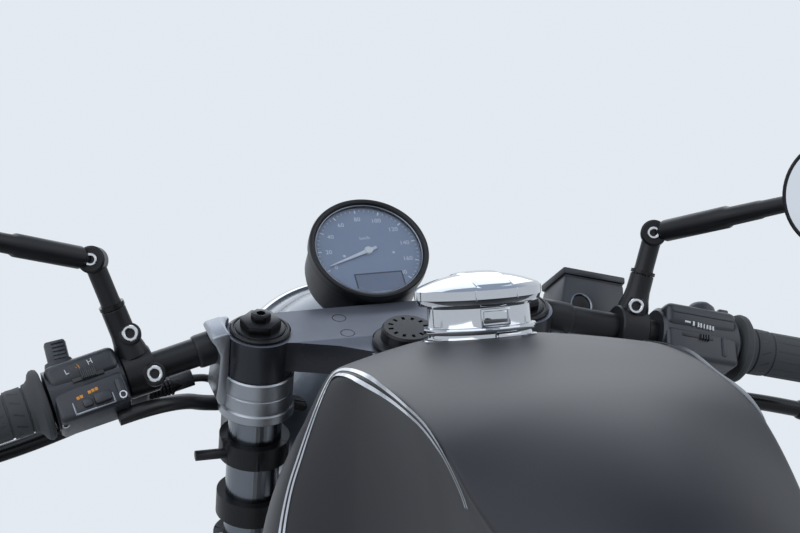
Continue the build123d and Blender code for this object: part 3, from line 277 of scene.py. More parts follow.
class Bench:
    """The modelling steps, done with operators on one piece at a time."""

    @staticmethod
    def clear() -> None:
        """Leave edit mode and deselect everything."""
        if bpy.context.object and bpy.context.object.mode != "OBJECT":
            bpy.ops.object.mode_set(mode="OBJECT")
        bpy.ops.object.select_all(action="DESELECT")

    @staticmethod
    def pick(*pieces: bpy.types.Object) -> None:
        """Select these pieces alone, the first one active."""
        Bench.clear()
        for piece in pieces:
            piece.select_set(True)
        bpy.context.view_layer.objects.active = pieces[0]

    @staticmethod
    def seat(piece: bpy.types.Object, at: Matrix) -> bpy.types.Object:
        """Put a piece in its place and move that place into its mesh."""
        piece.matrix_world = at @ piece.matrix_world
        Bench.pick(piece)
        bpy.ops.object.transform_apply(location=True, rotation=True, scale=True)
        return piece

    @staticmethod
    def tidy(piece: bpy.types.Object, merge: float = MERGE) -> bpy.types.Object:
        """Merge doubles and turn all faces outwards."""
        Bench.pick(piece)
        bpy.ops.object.mode_set(mode="EDIT")
        bpy.ops.mesh.select_all(action="SELECT")
        bpy.ops.mesh.remove_doubles(threshold=merge)
        bpy.ops.mesh.normals_make_consistent(inside=False)
        bpy.ops.object.mode_set(mode="OBJECT")
        return piece

    @staticmethod
    def turn(name: str, profile: Sequence[Pair], at: Matrix = Matrix(), sides: int = 64,
             loop: bool = False) -> bpy.types.Object:
        """Turn a round piece: a circle is extruded and resized along its outline.

        Args:
            name: The piece's name.
            profile: Radius and height of each ring, from one end to the other.
            at: Where the piece's own Z axis lies.
            sides: How many sides stand for the circle.
            loop: True where the outline comes back to its start, as on a ring.

        Returns:
            The turned piece.
        """
        Bench.clear()
        radius, height = profile[0]
        radius = max(radius, POLE)
        bpy.ops.mesh.primitive_circle_add(vertices=sides, radius=radius, location=(0, 0, 0))
        piece = bpy.context.object
        piece.name = name
        bpy.ops.object.mode_set(mode="EDIT")
        bpy.ops.transform.translate(value=(0, 0, height))
        for next_radius, next_height in profile[1:]:
            next_radius = max(next_radius, POLE)
            bpy.ops.mesh.extrude_region_move(TRANSFORM_OT_translate={"value": (0, 0, next_height - height)})
            ratio = next_radius / radius
            bpy.ops.transform.resize(value=(ratio, ratio, 1), center_override=(0, 0, next_height))
            radius, height = next_radius, next_height
        bpy.ops.mesh.select_all(action="SELECT")
        bpy.ops.mesh.remove_doubles(threshold=MERGE)
        if not loop:
            bpy.ops.mesh.fill_holes(sides=0)
        bpy.ops.mesh.normals_make_consistent(inside=False)
        bpy.ops.object.mode_set(mode="OBJECT")
        return Bench.seat(piece, at)

    @staticmethod
    def block(name: str, low: Point, high: Point, at: Matrix = Matrix(), bevel: float = 0.0,
              steps: int = 2) -> bpy.types.Object:
        """Make a block between two corners with its edges bevelled.

        Args:
            name: The piece's name.
            low: Its lowest corner.
            high: Its highest corner.
            at: The frame that the corners are in.
            bevel: Width of the bevel, 0 for none.
            steps: How many segments the bevel has.

        Returns:
            The block.
        """
        Bench.clear()
        bpy.ops.mesh.primitive_cube_add(size=1)
        piece = bpy.context.object
        piece.name = name
        bpy.ops.object.mode_set(mode="EDIT")
        span = [b - a for a, b in zip(low, high)]
        bpy.ops.transform.resize(value=span)
        bpy.ops.transform.translate(value=[(a + b) / 2 for a, b in zip(low, high)])
        if bevel:
            bpy.ops.mesh.bevel(offset=bevel, segments=steps, affect="EDGES")
        bpy.ops.object.mode_set(mode="OBJECT")
        return Bench.seat(piece, at)

    @staticmethod
    def plate(name: str, outline: Sequence[Pair], low: float, high: float, at: Matrix = Matrix(),
              bevel: float = 0.0) -> bpy.types.Object:
        """Extrude a flat outline into a plate.

        Args:
            name: The piece's name.
            outline: Its corners, counter-clockwise.
            low: Height of the lower face.
            high: Height of the upper face.
            at: The frame that the outline is in.
            bevel: Width of the bevel on its sharp edges, 0 for none.

        Returns:
            The plate.
        """
        Bench.clear()
        bpy.ops.mesh.primitive_circle_add(vertices=len(outline), fill_type="NGON")
        piece = bpy.context.object
        piece.name = name
        for vertex, (x, y) in zip(piece.data.vertices, outline):
            vertex.co = (x, y, low)
        bpy.ops.object.mode_set(mode="EDIT")
        bpy.ops.mesh.select_all(action="SELECT")
        bpy.ops.mesh.extrude_region_move(TRANSFORM_OT_translate={"value": (0, 0, high - low)})
        bpy.ops.mesh.select_all(action="SELECT")
        bpy.ops.mesh.normals_make_consistent(inside=False)
        bpy.ops.object.mode_set(mode="OBJECT")
        if bevel:
            Bench.bevel(piece, bevel)
        return Bench.seat(piece, at)

    @staticmethod
    def wrap(name: str, across: int, along: int, surface: Callable[[float, float], Point],
             at: Matrix = Matrix()) -> bpy.types.Object:
        """Shape a grid over a surface given by a formula.

        Args:
            name: The piece's name.
            across: Divisions of u.
            along: Divisions of v.
            surface: Gives the point at u and v, each from 0 to 1.
            at: The frame that the points are in.

        Returns:
            The shaped surface, with u and v as its UV map.
        """
        Bench.clear()
        bpy.ops.mesh.primitive_grid_add(x_subdivisions=across, y_subdivisions=along, size=1, calc_uvs=True)
        piece = bpy.context.object
        piece.name = name
        for vertex in piece.data.vertices:
            vertex.co = surface(vertex.co.x + 0.5, vertex.co.y + 0.5)
        Bench.tidy(piece)
        return Bench.seat(piece, at)

    @staticmethod
    def tube(name: str, points: Sequence[Point], radius: float, at: Matrix = Matrix(), steps: int = 6,
             round_steps: int = 5) -> bpy.types.Object:
        """Draw a round tube along a smooth line.

        Args:
            name: The piece's name.
            points: Control points of the line.
            radius: The tube's radius.
            at: The frame that the points are in.
            steps: Divisions from one point to the next.
            round_steps: Divisions of a quarter of its girth.

        Returns:
            The tube as a mesh with closed ends.
        """
        Bench.clear()
        bpy.ops.curve.primitive_nurbs_path_add()
        piece = bpy.context.object
        piece.name = name
        line = piece.data
        line.splines.clear()
        spline = line.splines.new("NURBS")
        spline.points.add(len(points) - 1)
        for knot, point in zip(spline.points, points):
            knot.co = (*point, 1.0)
        spline.order_u = 3
        spline.use_endpoint_u = True
        spline.resolution_u = steps
        line.bevel_depth = radius
        line.bevel_resolution = round_steps
        line.use_fill_caps = True
        bpy.ops.object.convert(target="MESH")
        return Bench.seat(piece, at)

    @staticmethod
    def text(name: str, words: str, size: float, at: Matrix, thick: float = 0.05 * MM) -> bpy.types.Object:
        """Set generic characters, centred on a place.

        Args:
            name: The piece's name.
            words: The characters.
            size: Their height.
            at: Their plane, with X to the right and Z out of it.
            thick: How far they stand proud.

        Returns:
            The characters as a mesh.
        """
        Bench.clear()
        bpy.ops.object.text_add()
        piece = bpy.context.object
        piece.name = name
        piece.data.body = words
        piece.data.size = size
        piece.data.align_x = "CENTER"
        piece.data.align_y = "CENTER"
        piece.data.extrude = thick
        piece.data.resolution_u = 3
        bpy.ops.object.convert(target="MESH")
        return Bench.seat(piece, at)

    @staticmethod
    def modify(piece: bpy.types.Object, kind: str, **settings: object) -> bpy.types.Object:
        """Add a modifier with these settings and apply it."""
        Bench.pick(piece)
        bpy.ops.object.modifier_add(type=kind)
        modifier = piece.modifiers[-1]
        for key, value in settings.items():
            setattr(modifier, key, value)
        bpy.ops.object.modifier_apply(modifier=modifier.name)
        return piece

    @staticmethod
    def bevel(piece: bpy.types.Object, width: float, steps: int = 2, angle: float = 35.0) -> bpy.types.Object:
        """Round the edges that are sharper than an angle in degrees."""
        return Bench.modify(piece, "BEVEL", width=width, segments=steps, limit_method="ANGLE",
                            angle_limit=math.radians(angle), harden_normals=False)

    @staticmethod
    def cut(piece: bpy.types.Object, tool: bpy.types.Object, how: str = "DIFFERENCE") -> bpy.types.Object:
        """Cut a piece with a tool, or merge the two, and put the tool away."""
        Bench.modify(piece, "BOOLEAN", operation=how, object=tool, solver="EXACT")
        bpy.data.objects.remove(tool)
        return piece

    @staticmethod
    def join(name: str, pieces: Sequence[bpy.types.Object]) -> bpy.types.Object:
        """Join pieces into one of that name."""
        Bench.pick(*pieces)
        if len(pieces) > 1:
            bpy.ops.object.join()
        joined = bpy.context.object
        joined.name = name
        return joined

    @staticmethod
    def copy(piece: bpy.types.Object, at: Matrix) -> bpy.types.Object:
        """Copy a piece with its own mesh and move the copy."""
        twin = piece.copy()
        twin.data = piece.data.copy()
        bpy.context.scene.collection.objects.link(twin)
        twin.data.transform(at)
        return twin

    @staticmethod
    def around(name: str, piece: bpy.types.Object, count: int, at: Matrix = Matrix()) -> bpy.types.Object:
        """Repeat a piece round the Z axis of a frame and join the copies.

        Args:
            name: The joined piece's name.
            piece: The first copy, modelled in that frame.
            count: How many there are in a full turn.
            at: The frame.

        Returns:
            The joined ring of copies.
        """
        ring = [Bench.copy(piece, Matrix.Rotation(math.tau * i / count, 4, "Z")) for i in range(1, count)]
        return Bench.seat(Bench.join(name, [piece, *ring]), at)

    @staticmethod
    def mirrored(piece: bpy.types.Object, name: str) -> bpy.types.Object:
        """Copy a piece to the machine's other side, with its faces outwards."""
        twin = Bench.copy(piece, Matrix.Scale(-1, 4, (1, 0, 0)))
        twin.name = name
        twin.data.flip_normals()
        return twin

    @staticmethod
    def dress(piece: bpy.types.Object, finish: Finish, body: str, *stands_for: str,
              angle: float = 35.0) -> bpy.types.Object:
        """Give a piece its finish and shading, and let it ride on its body.

        Args:
            piece: The finished mesh.
            finish: What its surface is.
            body: The body that carries it.
            stands_for: The nodes that it replaces.
            angle: Edges sharper than this many degrees stay sharp.

        Returns:
            The piece.
        """
        Bench.pick(piece)
        piece.data.materials.clear()
        piece.data.materials.append(finish.build())
        bpy.ops.object.shade_smooth_by_angle(angle=math.radians(angle))
        if stands_for:
            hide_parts(*stands_for)
        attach(piece, body)
        LOG.info("%s: %d faces on %s", piece.name, len(piece.data.polygons), body)
        return piece

    @staticmethod
    def skin(node: str, finish: Finish, angle: float = 32.0) -> bpy.types.Object:
        """Show a solid as it is, merged into one smooth mesh with its finish.

        Args:
            node: The solid's name.
            finish: What its surface is.
            angle: Edges sharper than this many degrees stay sharp.

        Returns:
            The skin that stands for the solid.
        """
        source = frame["nodes"][node]
        piece = bpy.data.objects.new(node + "_skin", source.data.copy())
        bpy.context.scene.collection.objects.link(piece)
        Bench.pick(piece)
        bpy.ops.object.mode_set(mode="EDIT")
        bpy.ops.mesh.select_all(action="SELECT")
        bpy.ops.mesh.remove_doubles(threshold=1e-6)
        bpy.ops.object.mode_set(mode="OBJECT")
        return Bench.dress(piece, finish, source["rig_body"], node, angle=angle)


def mm(*values: float) -> tuple[float, ...]:
    """Turn millimetres into metres."""
    return tuple(value * MM for value in values)


def in_mm(*points: Sequence[float]) -> list[tuple[float, ...]]:
    """Turn points given in millimetres into metres."""
    return [mm(*point) for point in points]


def place(*shift: float) -> Matrix:
    """Matrix that only moves."""
    return Matrix.Translation(shift)


def spin(angle: float, axis: str) -> Matrix:
    """Matrix that turns by an angle in degrees about X, Y or Z."""
    return Matrix.Rotation(math.radians(angle), 4, axis)


def axes(origin: Sequence[float], x: Sequence[float], z: Sequence[float]) -> Matrix:
    """Frame from its origin, its Z axis and a direction that X is near.

    Args:
        origin: Where the frame stands.
        x: A direction near its X axis.
        z: Its Z axis.

    Returns:
        The frame as a matrix.
    """
    up = Vector(z).normalized()
    side = (Vector(x) - up * up.dot(Vector(x))).normalized()
    turn = Matrix((side, up.cross(side), up)).transposed().to_4x4()
    return Matrix.Translation(origin) @ turn


def arc(centre: Pair, radius: float, start: float, end: float, steps: int) -> list[Pair]:
    """Points on a circular arc, in degrees from the first axis.

    Args:
        centre: The circle's centre.
        radius: Its radius.
        start: Angle of the first point.
        end: Angle of the last point.
        steps: How many steps there are between them.

    Returns:
        The points, both ends included.
    """
    found = []
    for i in range(steps + 1):
        a = math.radians(start + (end - start) * i / steps)
        found.append((centre[0] + radius * math.cos(a), centre[1] + radius * math.sin(a)))
    return found


def joint(name: str) -> dict:
    """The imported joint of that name."""
    return next(j for j in frame["joints"] if j["name"] == name)


def steering_frame() -> Matrix:
    """Frame of the fork's top: X right, Y forward, Z up the steering axis."""
    head = joint("steering_turn")
    return axes(head["pos_m"], (1, 0, 0), head["axis"])


STEER = steering_frame()
HEAD = STEER.translation.copy()


@dataclass(frozen=True)
class Bar:
    """One half of the handlebar and the frames along it."""

    side: int
    start: Point = (0.132, 0.0512, -0.0152)
    run: Point = (0.966, -0.030, -0.257)

    def right(self) -> Vector:
        """Direction along the bar towards the machine's right."""
        outward = Vector(self.run).normalized()
        outward.x *= self.side
        return (STEER.to_3x3() @ outward) * self.side

    def spot(self, s: float) -> Vector:
        """Point on the bar's axis, s metres from its inner end."""
        begin = STEER @ Vector((self.side * self.start[0], self.start[1], self.start[2]))
        return begin + self.right() * (s * self.side)

    def facing(self, s: float, tilt: float = 0.0) -> Matrix:
        """Frame at s: X right along the bar, Y up, Z to the rider, tilted up by an angle."""
        right = self.right()
        up = (Vector((0, 0, 1)) - right * right.z).normalized()
        rear = right.cross(up)
        lean = math.radians(tilt)
        out = rear * math.cos(lean) + up * math.sin(lean)
        return axes(self.spot(s), right, out)

    def along(self, s: float) -> Matrix:
        """Frame at s with Z outboard along the bar."""
        return axes(self.spot(s), (0, 0, 1), self.right() * self.side)


LEFT, RIGHT = Bar(-1), Bar(1)


@dataclass
class SocketScrews:
    """Silver socket-head screws, made once and set where they belong."""

    head: float = 4.6 * MM
    height: float = 4.2 * MM
    socket: float = 2.5 * MM

    def screw(self, name: str, at: Matrix, body: str, size: float = 1.0) -> bpy.types.Object:
        """Set one screw with its head towards +Z of a frame.

        Args:
            name: Its name.
            at: Its seat.
            body: The body that it is screwed into.
            size: Its size against the usual one.

        Returns:
            The screw.
        """
        r, h, hole = self.head * size, self.height * size, self.socket * size
        outline = [(0, -h), (r * 0.86, -h), (r, -h * 0.9), (r, h * 0.35), (r * 0.9, h * 0.5),
                   (hole * 1.25, h * 0.5), (hole * 1.1, h * 0.42), (hole * 1.1, -h * 0.2), (0, -h * 0.3)]
        made = Bench.turn(name, outline, at, sides=24)
        return Bench.dress(made, BOLT_STEEL, body, angle=30)


SCREWS = SocketScrews()


@dataclass
class FuelTank:
    """The tank's painted shell with its twin pinstripes."""

    rows: tuple[tuple[float, ...], ...] = (
        # y, crease x, crease z, top z, side x, side z, bottom x, bottom z, softness of the crease
        (-38, 56, -26, -14, 67, -62, 60, -112, 22),
        (-72, 76, -12, 4, 112, -76, 108, -150, 24),
        (-120, 92, -7, 14, 147, -98, 152, -180, 22),
        (-180, 112, 2, 18, 156, -110, 152, -190, 12),
        (-250, 113, 4, 15, 118, -96, 130, -190, 4),
        (-330, 108, -6, 4, 99, -98, 118, -190, 4),
        (-400, 107, -27, -9, 97, -106, 112, -184, 4),
        (-460, 103, -64, -28, 95, -118, 105, -174, 6),
        (-520, 90, -100, -58, 88, -134, 92, -166, 12),
        (-572, 68, -128, -96, 72, -142, 70, -158, 16),
    )
    shares: tuple[float, float, float] = (0.1, 0.5, 0.4)
    end_round: float = 0.02
    girth: float = 560.0
    stripe_width: float = 2.9 * MM
    stripe_gap: float = 5.6 * MM
    stripe_lift: float = 0.25 * MM
    edge: tuple[Pair, ...] = (
        # u and v of the knee recess's edge on the left: up its front, over the apex and along the top
        (0.150, 0.276), (0.183, 0.274), (0.219, 0.273), (0.242, 0.277), (0.265, 0.280), (0.279, 0.283),
        (0.290, 0.289),
        (0.299, 0.299), (0.303, 0.318), (0.3035, 0.351), (0.3015, 0.402), (0.299, 0.461), (0.2962, 0.514),
        (0.2946, 0.564),
        (0.2957, 0.608), (0.2963, 0.647), (0.2936, 0.680), (0.287, 0.705), (0.278, 0.723), (0.268, 0.7305),
        (0.259, 0.732),
    )

    def row(self, v: float) -> list[float]:
        """Columns of the section at v, smooth from row to row."""
        y = self.rows[0][0] + (self.rows[-1][0] - self.rows[0][0]) * v
        i = max(k for k in range(len(self.rows) - 1) if self.rows[k][0] >= y or k == 0)
        before, here = self.rows[max(i - 1, 0)], self.rows[i]
        there, after = self.rows[i + 1], self.rows[min(i + 2, len(self.rows) - 1)]
        t = (y - here[0]) / (there[0] - here[0])
        found = [y]
        for k in range(1, len(here)):
            span = there[0] - here[0]
            slope0 = (there[k] - before[k]) / ((there[0] - before[0]) or 1) * span
            slope1 = (after[k] - here[k]) / ((after[0] - here[0]) or 1) * span
            h00, h10 = 2 * t ** 3 - 3 * t ** 2 + 1, t ** 3 - 2 * t ** 2 + t
            h01, h11 = 3 * t ** 2 - 2 * t ** 3, t ** 3 - t ** 2
            found.append(h00 * here[k] + h10 * slope0 + h01 * there[k] + h11 * slope1)
        return found

    @staticmethod
    def bow(a: Pair, b: Pair, c: Pair, t: float) -> Pair:
        """Point at t on the smooth bow from a through b to c."""
        mid = (2 * b[0] - (a[0] + c[0]) / 2, 2 * b[1] - (a[1] + c[1]) / 2)
        k0, k1, k2 = (1 - t) ** 2, 2 * t * (1 - t), t * t
        return (k0 * a[0] + k1 * mid[0] + k2 * c[0], k0 * a[1] + k1 * mid[1] + k2 * c[1])

    def outline(self, row: list[float], u: float) -> Pair:
        """Point of a section at u, from under the middle (0) over the left (0.5 on top) and back."""
        side = -1 if u <= 0.5 else 1
        w = min(2 * u, 2 - 2 * u)
        _, cx, cz, top, sx, sz, bx, bz, _ = row
        floor, wall, _ = self.shares
        if w < floor:
            x, z = bx * w / floor, bz
        elif w < floor + wall:
            x, z = self.bow((bx, bz), (sx, sz), (cx, cz), (w - floor) / wall)
        else:
            t = (w - floor - wall) / (1 - floor - wall)
            x = cx * (1 - t)
            z = top - (top - cz) * (x / cx) ** 2
        return (side * x, z)

    def point(self, u: float, v: float) -> Vector:
        """Point of the tank's surface at u round it and v along it."""
        row = self.row(min(max(v, 0.0), 1.0))
        reach = row[8] / self.girth
        x = z = weight = 0.0
        for i in range(-4, 5):
            w = math.exp(-(i / 2.2) ** 2)
            px, pz = self.outline(row, (u + reach * i / 4) % 1.0)
            x, z, weight = x + px * w, z + pz * w, weight + w
        x, z = x / weight, z / weight
        middle = (row[3] + row[7]) / 2
        near = min(v, 1 - v) / self.end_round
        shrink = 1.0 if near >= 1 else 1 - 0.16 * (1 - near) ** 2
        return Vector(mm(x * shrink, row[0], middle + (z - middle) * shrink)) + HEAD

    def normal(self, u: float, v: float) -> Vector:
        """Outward direction of the surface at u and v."""
        step = 0.002
        du = self.point((u + step) % 1, v) - self.point((u - step) % 1, v)
        dv = self.point(u, v + step) - self.point(u, v - step)
        return dv.cross(du).normalized()

    def ribbon(self, name: str, route: Callable[[float], Pair], shift: float,
               steps: int = 90) -> bpy.types.Object:
        """Lay a thin painted line on the surface.

        Args:
            name: Its name.
            route: Gives u and v along the line for 0 to 1.
            shift: How far it is moved sideways.
            steps: Divisions along it.

        Returns:
            The line as a strip.
        """
        def surface(a: float, b: float) -> Vector:
            u, v = route(b)
            u2, v2 = route(min(b + 0.012, 1.0))
            u1, v1 = route(max(b - 0.012, 0.0))
            here, out = self.point(u, v), self.normal(u, v)
            ahead = (self.point(u2, v2) - self.point(u1, v1)).normalized()
            taper = min(1.0, b / 0.02 + 0.1, (1 - b) / 0.02 + 0.1)
            side = out.cross(ahead) * (shift + (a - 0.5) * self.stripe_width * taper)
            return here + side + out * self.stripe_lift
        return Bench.wrap(name, 2, steps, surface)

    def along_edge(self, t: float, side: int) -> Pair:
        """Place on the recess's edge for t from 0 to 1, smooth through its points."""
        k = min(max(t, 0.0), 1.0) * (len(self.edge) - 1)
        i = min(int(k), len(self.edge) - 2)
        f = k - i
        a, b = self.edge[max(i - 1, 0)], self.edge[i]
        c, d = self.edge[i + 1], self.edge[min(i + 2, len(self.edge) - 1)]
        u, v = (0.5 * (2 * q + (r - o) * f + (2 * o - 5 * q + 4 * r - w) * f * f
                       + (3 * q - o - 3 * r + w) * f ** 3)
                for o, q, r, w in zip(a, b, c, d))
        return (u if side < 0 else 1 - u, v)

    def build(self) -> None:
        """Make the shell and both pairs of stripes."""
        shell = Bench.wrap("tank_shell", 320, 140, lambda u, v: self.point(u % 1.0, v))
        Bench.pick(shell)
        bpy.ops.object.mode_set(mode="EDIT")
        bpy.ops.mesh.select_all(action="SELECT")
        bpy.ops.mesh.fill_holes(sides=0)
        bpy.ops.mesh.normals_make_consistent(inside=False)
        bpy.ops.object.mode_set(mode="OBJECT")
        Bench.dress(shell, TANK_BLACK, "chassis", "fuel_tank", angle=50)
        for side, label in ((-1, "left"), (1, "right")):
            for k, shift in enumerate((-self.stripe_gap / 2, self.stripe_gap / 2)):
                line = self.ribbon(f"pinstripe_{label}_{k}", lambda t, side=side: self.along_edge(t, side),
                                   shift, 240)
                Bench.dress(line, STRIPE_SILVER, "chassis")


@dataclass
class FillerCap:
    """Polished flip cap: base ring, barrel with its latch, and domed lid."""

    y: float = -0.175
    base: float = 41 * MM
    barrel: float = 38.5 * MM
    lid: float = 44 * MM
    band: float = 14 * MM

    def at(self) -> Matrix:
        """Frame at the filler's middle, level with the head point."""
        return place(0, HEAD.y + self.y, HEAD.z)

    def build(self) -> None:
        """Make the neck's rings and the lid."""
        b, r, m = self.base, self.barrel, MM
        neck = Bench.turn("filler_neck_rings", [
            mm(28, 6), (b - 0.2 * m, 6 * m), (b - 0.2 * m, 15 * m), (b - 1.5 * m, 16.5 * m),
            (r - 1.5 * m, 17 * m),
            (r - 2 * m, 18 * m), (r - 2 * m, 20 * m), (r + 0.6 * m, 21 * m), (r + 1 * m, 22 * m),
            (r + 1 * m, 23.5 * m),
            (r + 0.4 * m, 24.4 * m), (r - 2.2 * m, 25 * m), (r - 2.6 * m, 26 * m), (r - 3 * m, 38 * m),
            (r - 2 * m, 40 * m),
            mm(28.5, 40), mm(28, 39), mm(28, 6)], self.at(), 96, loop=True)
        Bench.dress(neck, CHROME, "chassis", "filler_neck", angle=28)
        rear = self.at() @ axes((0, -r + 2.6 * m, 0.032), (1, 0, 0), (0, -1, 0))
        frame_edge = Bench.block("cap_latch_frame", mm(-10.5, -6.6, -2), mm(10.5, 5.6, 0.9), rear, 0.8 * m)
        Bench.cut(frame_edge, Bench.block("latch_tool", mm(-9, -5.2, -0.6), mm(9, 4.2, 4), rear))
        Bench.dress(frame_edge, CHROME, "chassis")
        button = Bench.block("cap_latch_button", mm(-8.6, -4.8, -2.5), mm(8.6, 3.8, 0.3), rear, 0.9 * m)
        Bench.dress(button, CHROME, "chassis")
        tab_at = self.at() @ spin(12, "Z") @ axes((0, -r - 1.2 * m, 0.0185), (1, 0, 0), (0, -1, 0))
        tab = Bench.block("cap_latch_tab", mm(-9, -2.6, -3), mm(9, 1.6, 1.4), tab_at, 0.9 * m)
        Bench.dress(tab, CHROME, "chassis")
        self.make_lid()
        self.make_hinge()

    def make_lid(self) -> None:
        """Domed lid with a raised band from front to back."""
        m, r = MM, self.lid
        dome = [(0, 61.0 * m)] + [(r * k, (61.0 - 9.5 * k ** 2.2) * m) for k in (0.15, 0.3, 0.45, 0.6, 0.75,
                                                                                 0.88, 0.955)]
        outline = dome + [(r, 50.6 * m), (r, 44.6 * m), (r - 0.8 * m, 43.4 * m), (r - 1.2 * m, 41 * m),
                          (r - 2.2 * m, 40.4 * m), mm(26, 40.4), mm(26, 44), (0, 44 * m)]
        cover = Bench.turn("lid_dome", outline, self.at(), 96)
        Bench.dress(cover, CHROME, "filler_flap", "filler_lid", angle=28)

        def band(u: float, v: float) -> Point:
            x = (u - 0.5) * 2 * self.band
            edge = min(u, 1 - u) / 0.1
            rise = (1.5 if edge >= 1 else 1.5 * math.sin(edge * math.pi / 2)) * m - 0.4 * m
            t = (v - 0.5) * 2
            y = t * math.sqrt(r * r - x * x) * 0.985
            k = min(math.hypot(x, y) / r, 1.0)
            end = min(1.0, (1 - abs(t)) / 0.06)
            z = (61.0 - 9.5 * k ** 2.2) * m + rise * math.sin(end * math.pi / 2) - (1 - end) * 2.2 * m
            return (x, y, z)
        raised = Bench.wrap("lid_band", 30, 60, band, self.at())
        Bench.modify(raised, "SOLIDIFY", thickness=1.2 * m, offset=-1.0)
        Bench.dress(raised, CHROME, "filler_flap", angle=40)
        for k, x in enumerate((-self.band - 0.7 * m, self.band + 0.7 * m)):
            lip_y = -math.sqrt(r * r - x * x) - 0.2 * m
            lip = Bench.block(f"lid_lip_{k}", (x - 0.7 * m, lip_y, 43.2 * m),
                              (x + 0.7 * m, lip_y + 3 * m, 50.8 * m), self.at(), 0.5 * m)
            Bench.dress(lip, CHROME, "filler_flap")

    def make_hinge(self) -> None:
        """Hinge knuckles at the front of the lid, round the pin."""
        pin = joint("filler_lid_hinge")["pos_m"]
        for name, low, high, body in (("hinge_left", -11, -6, "chassis"), ("hinge_right", 6, 11, "chassis"),
                                      ("hinge_middle", -5.7, 5.7, "filler_flap")):
            knuckle = Bench.turn(name, in_mm((0, low), (4.2, low), (4.8, low + 0.5), (4.8, high - 0.5),
                                             (4.2, high), (0, high)), place(*pin) @ spin(90, "Y"), 32)
            Bench.dress(knuckle, CHROME, body)


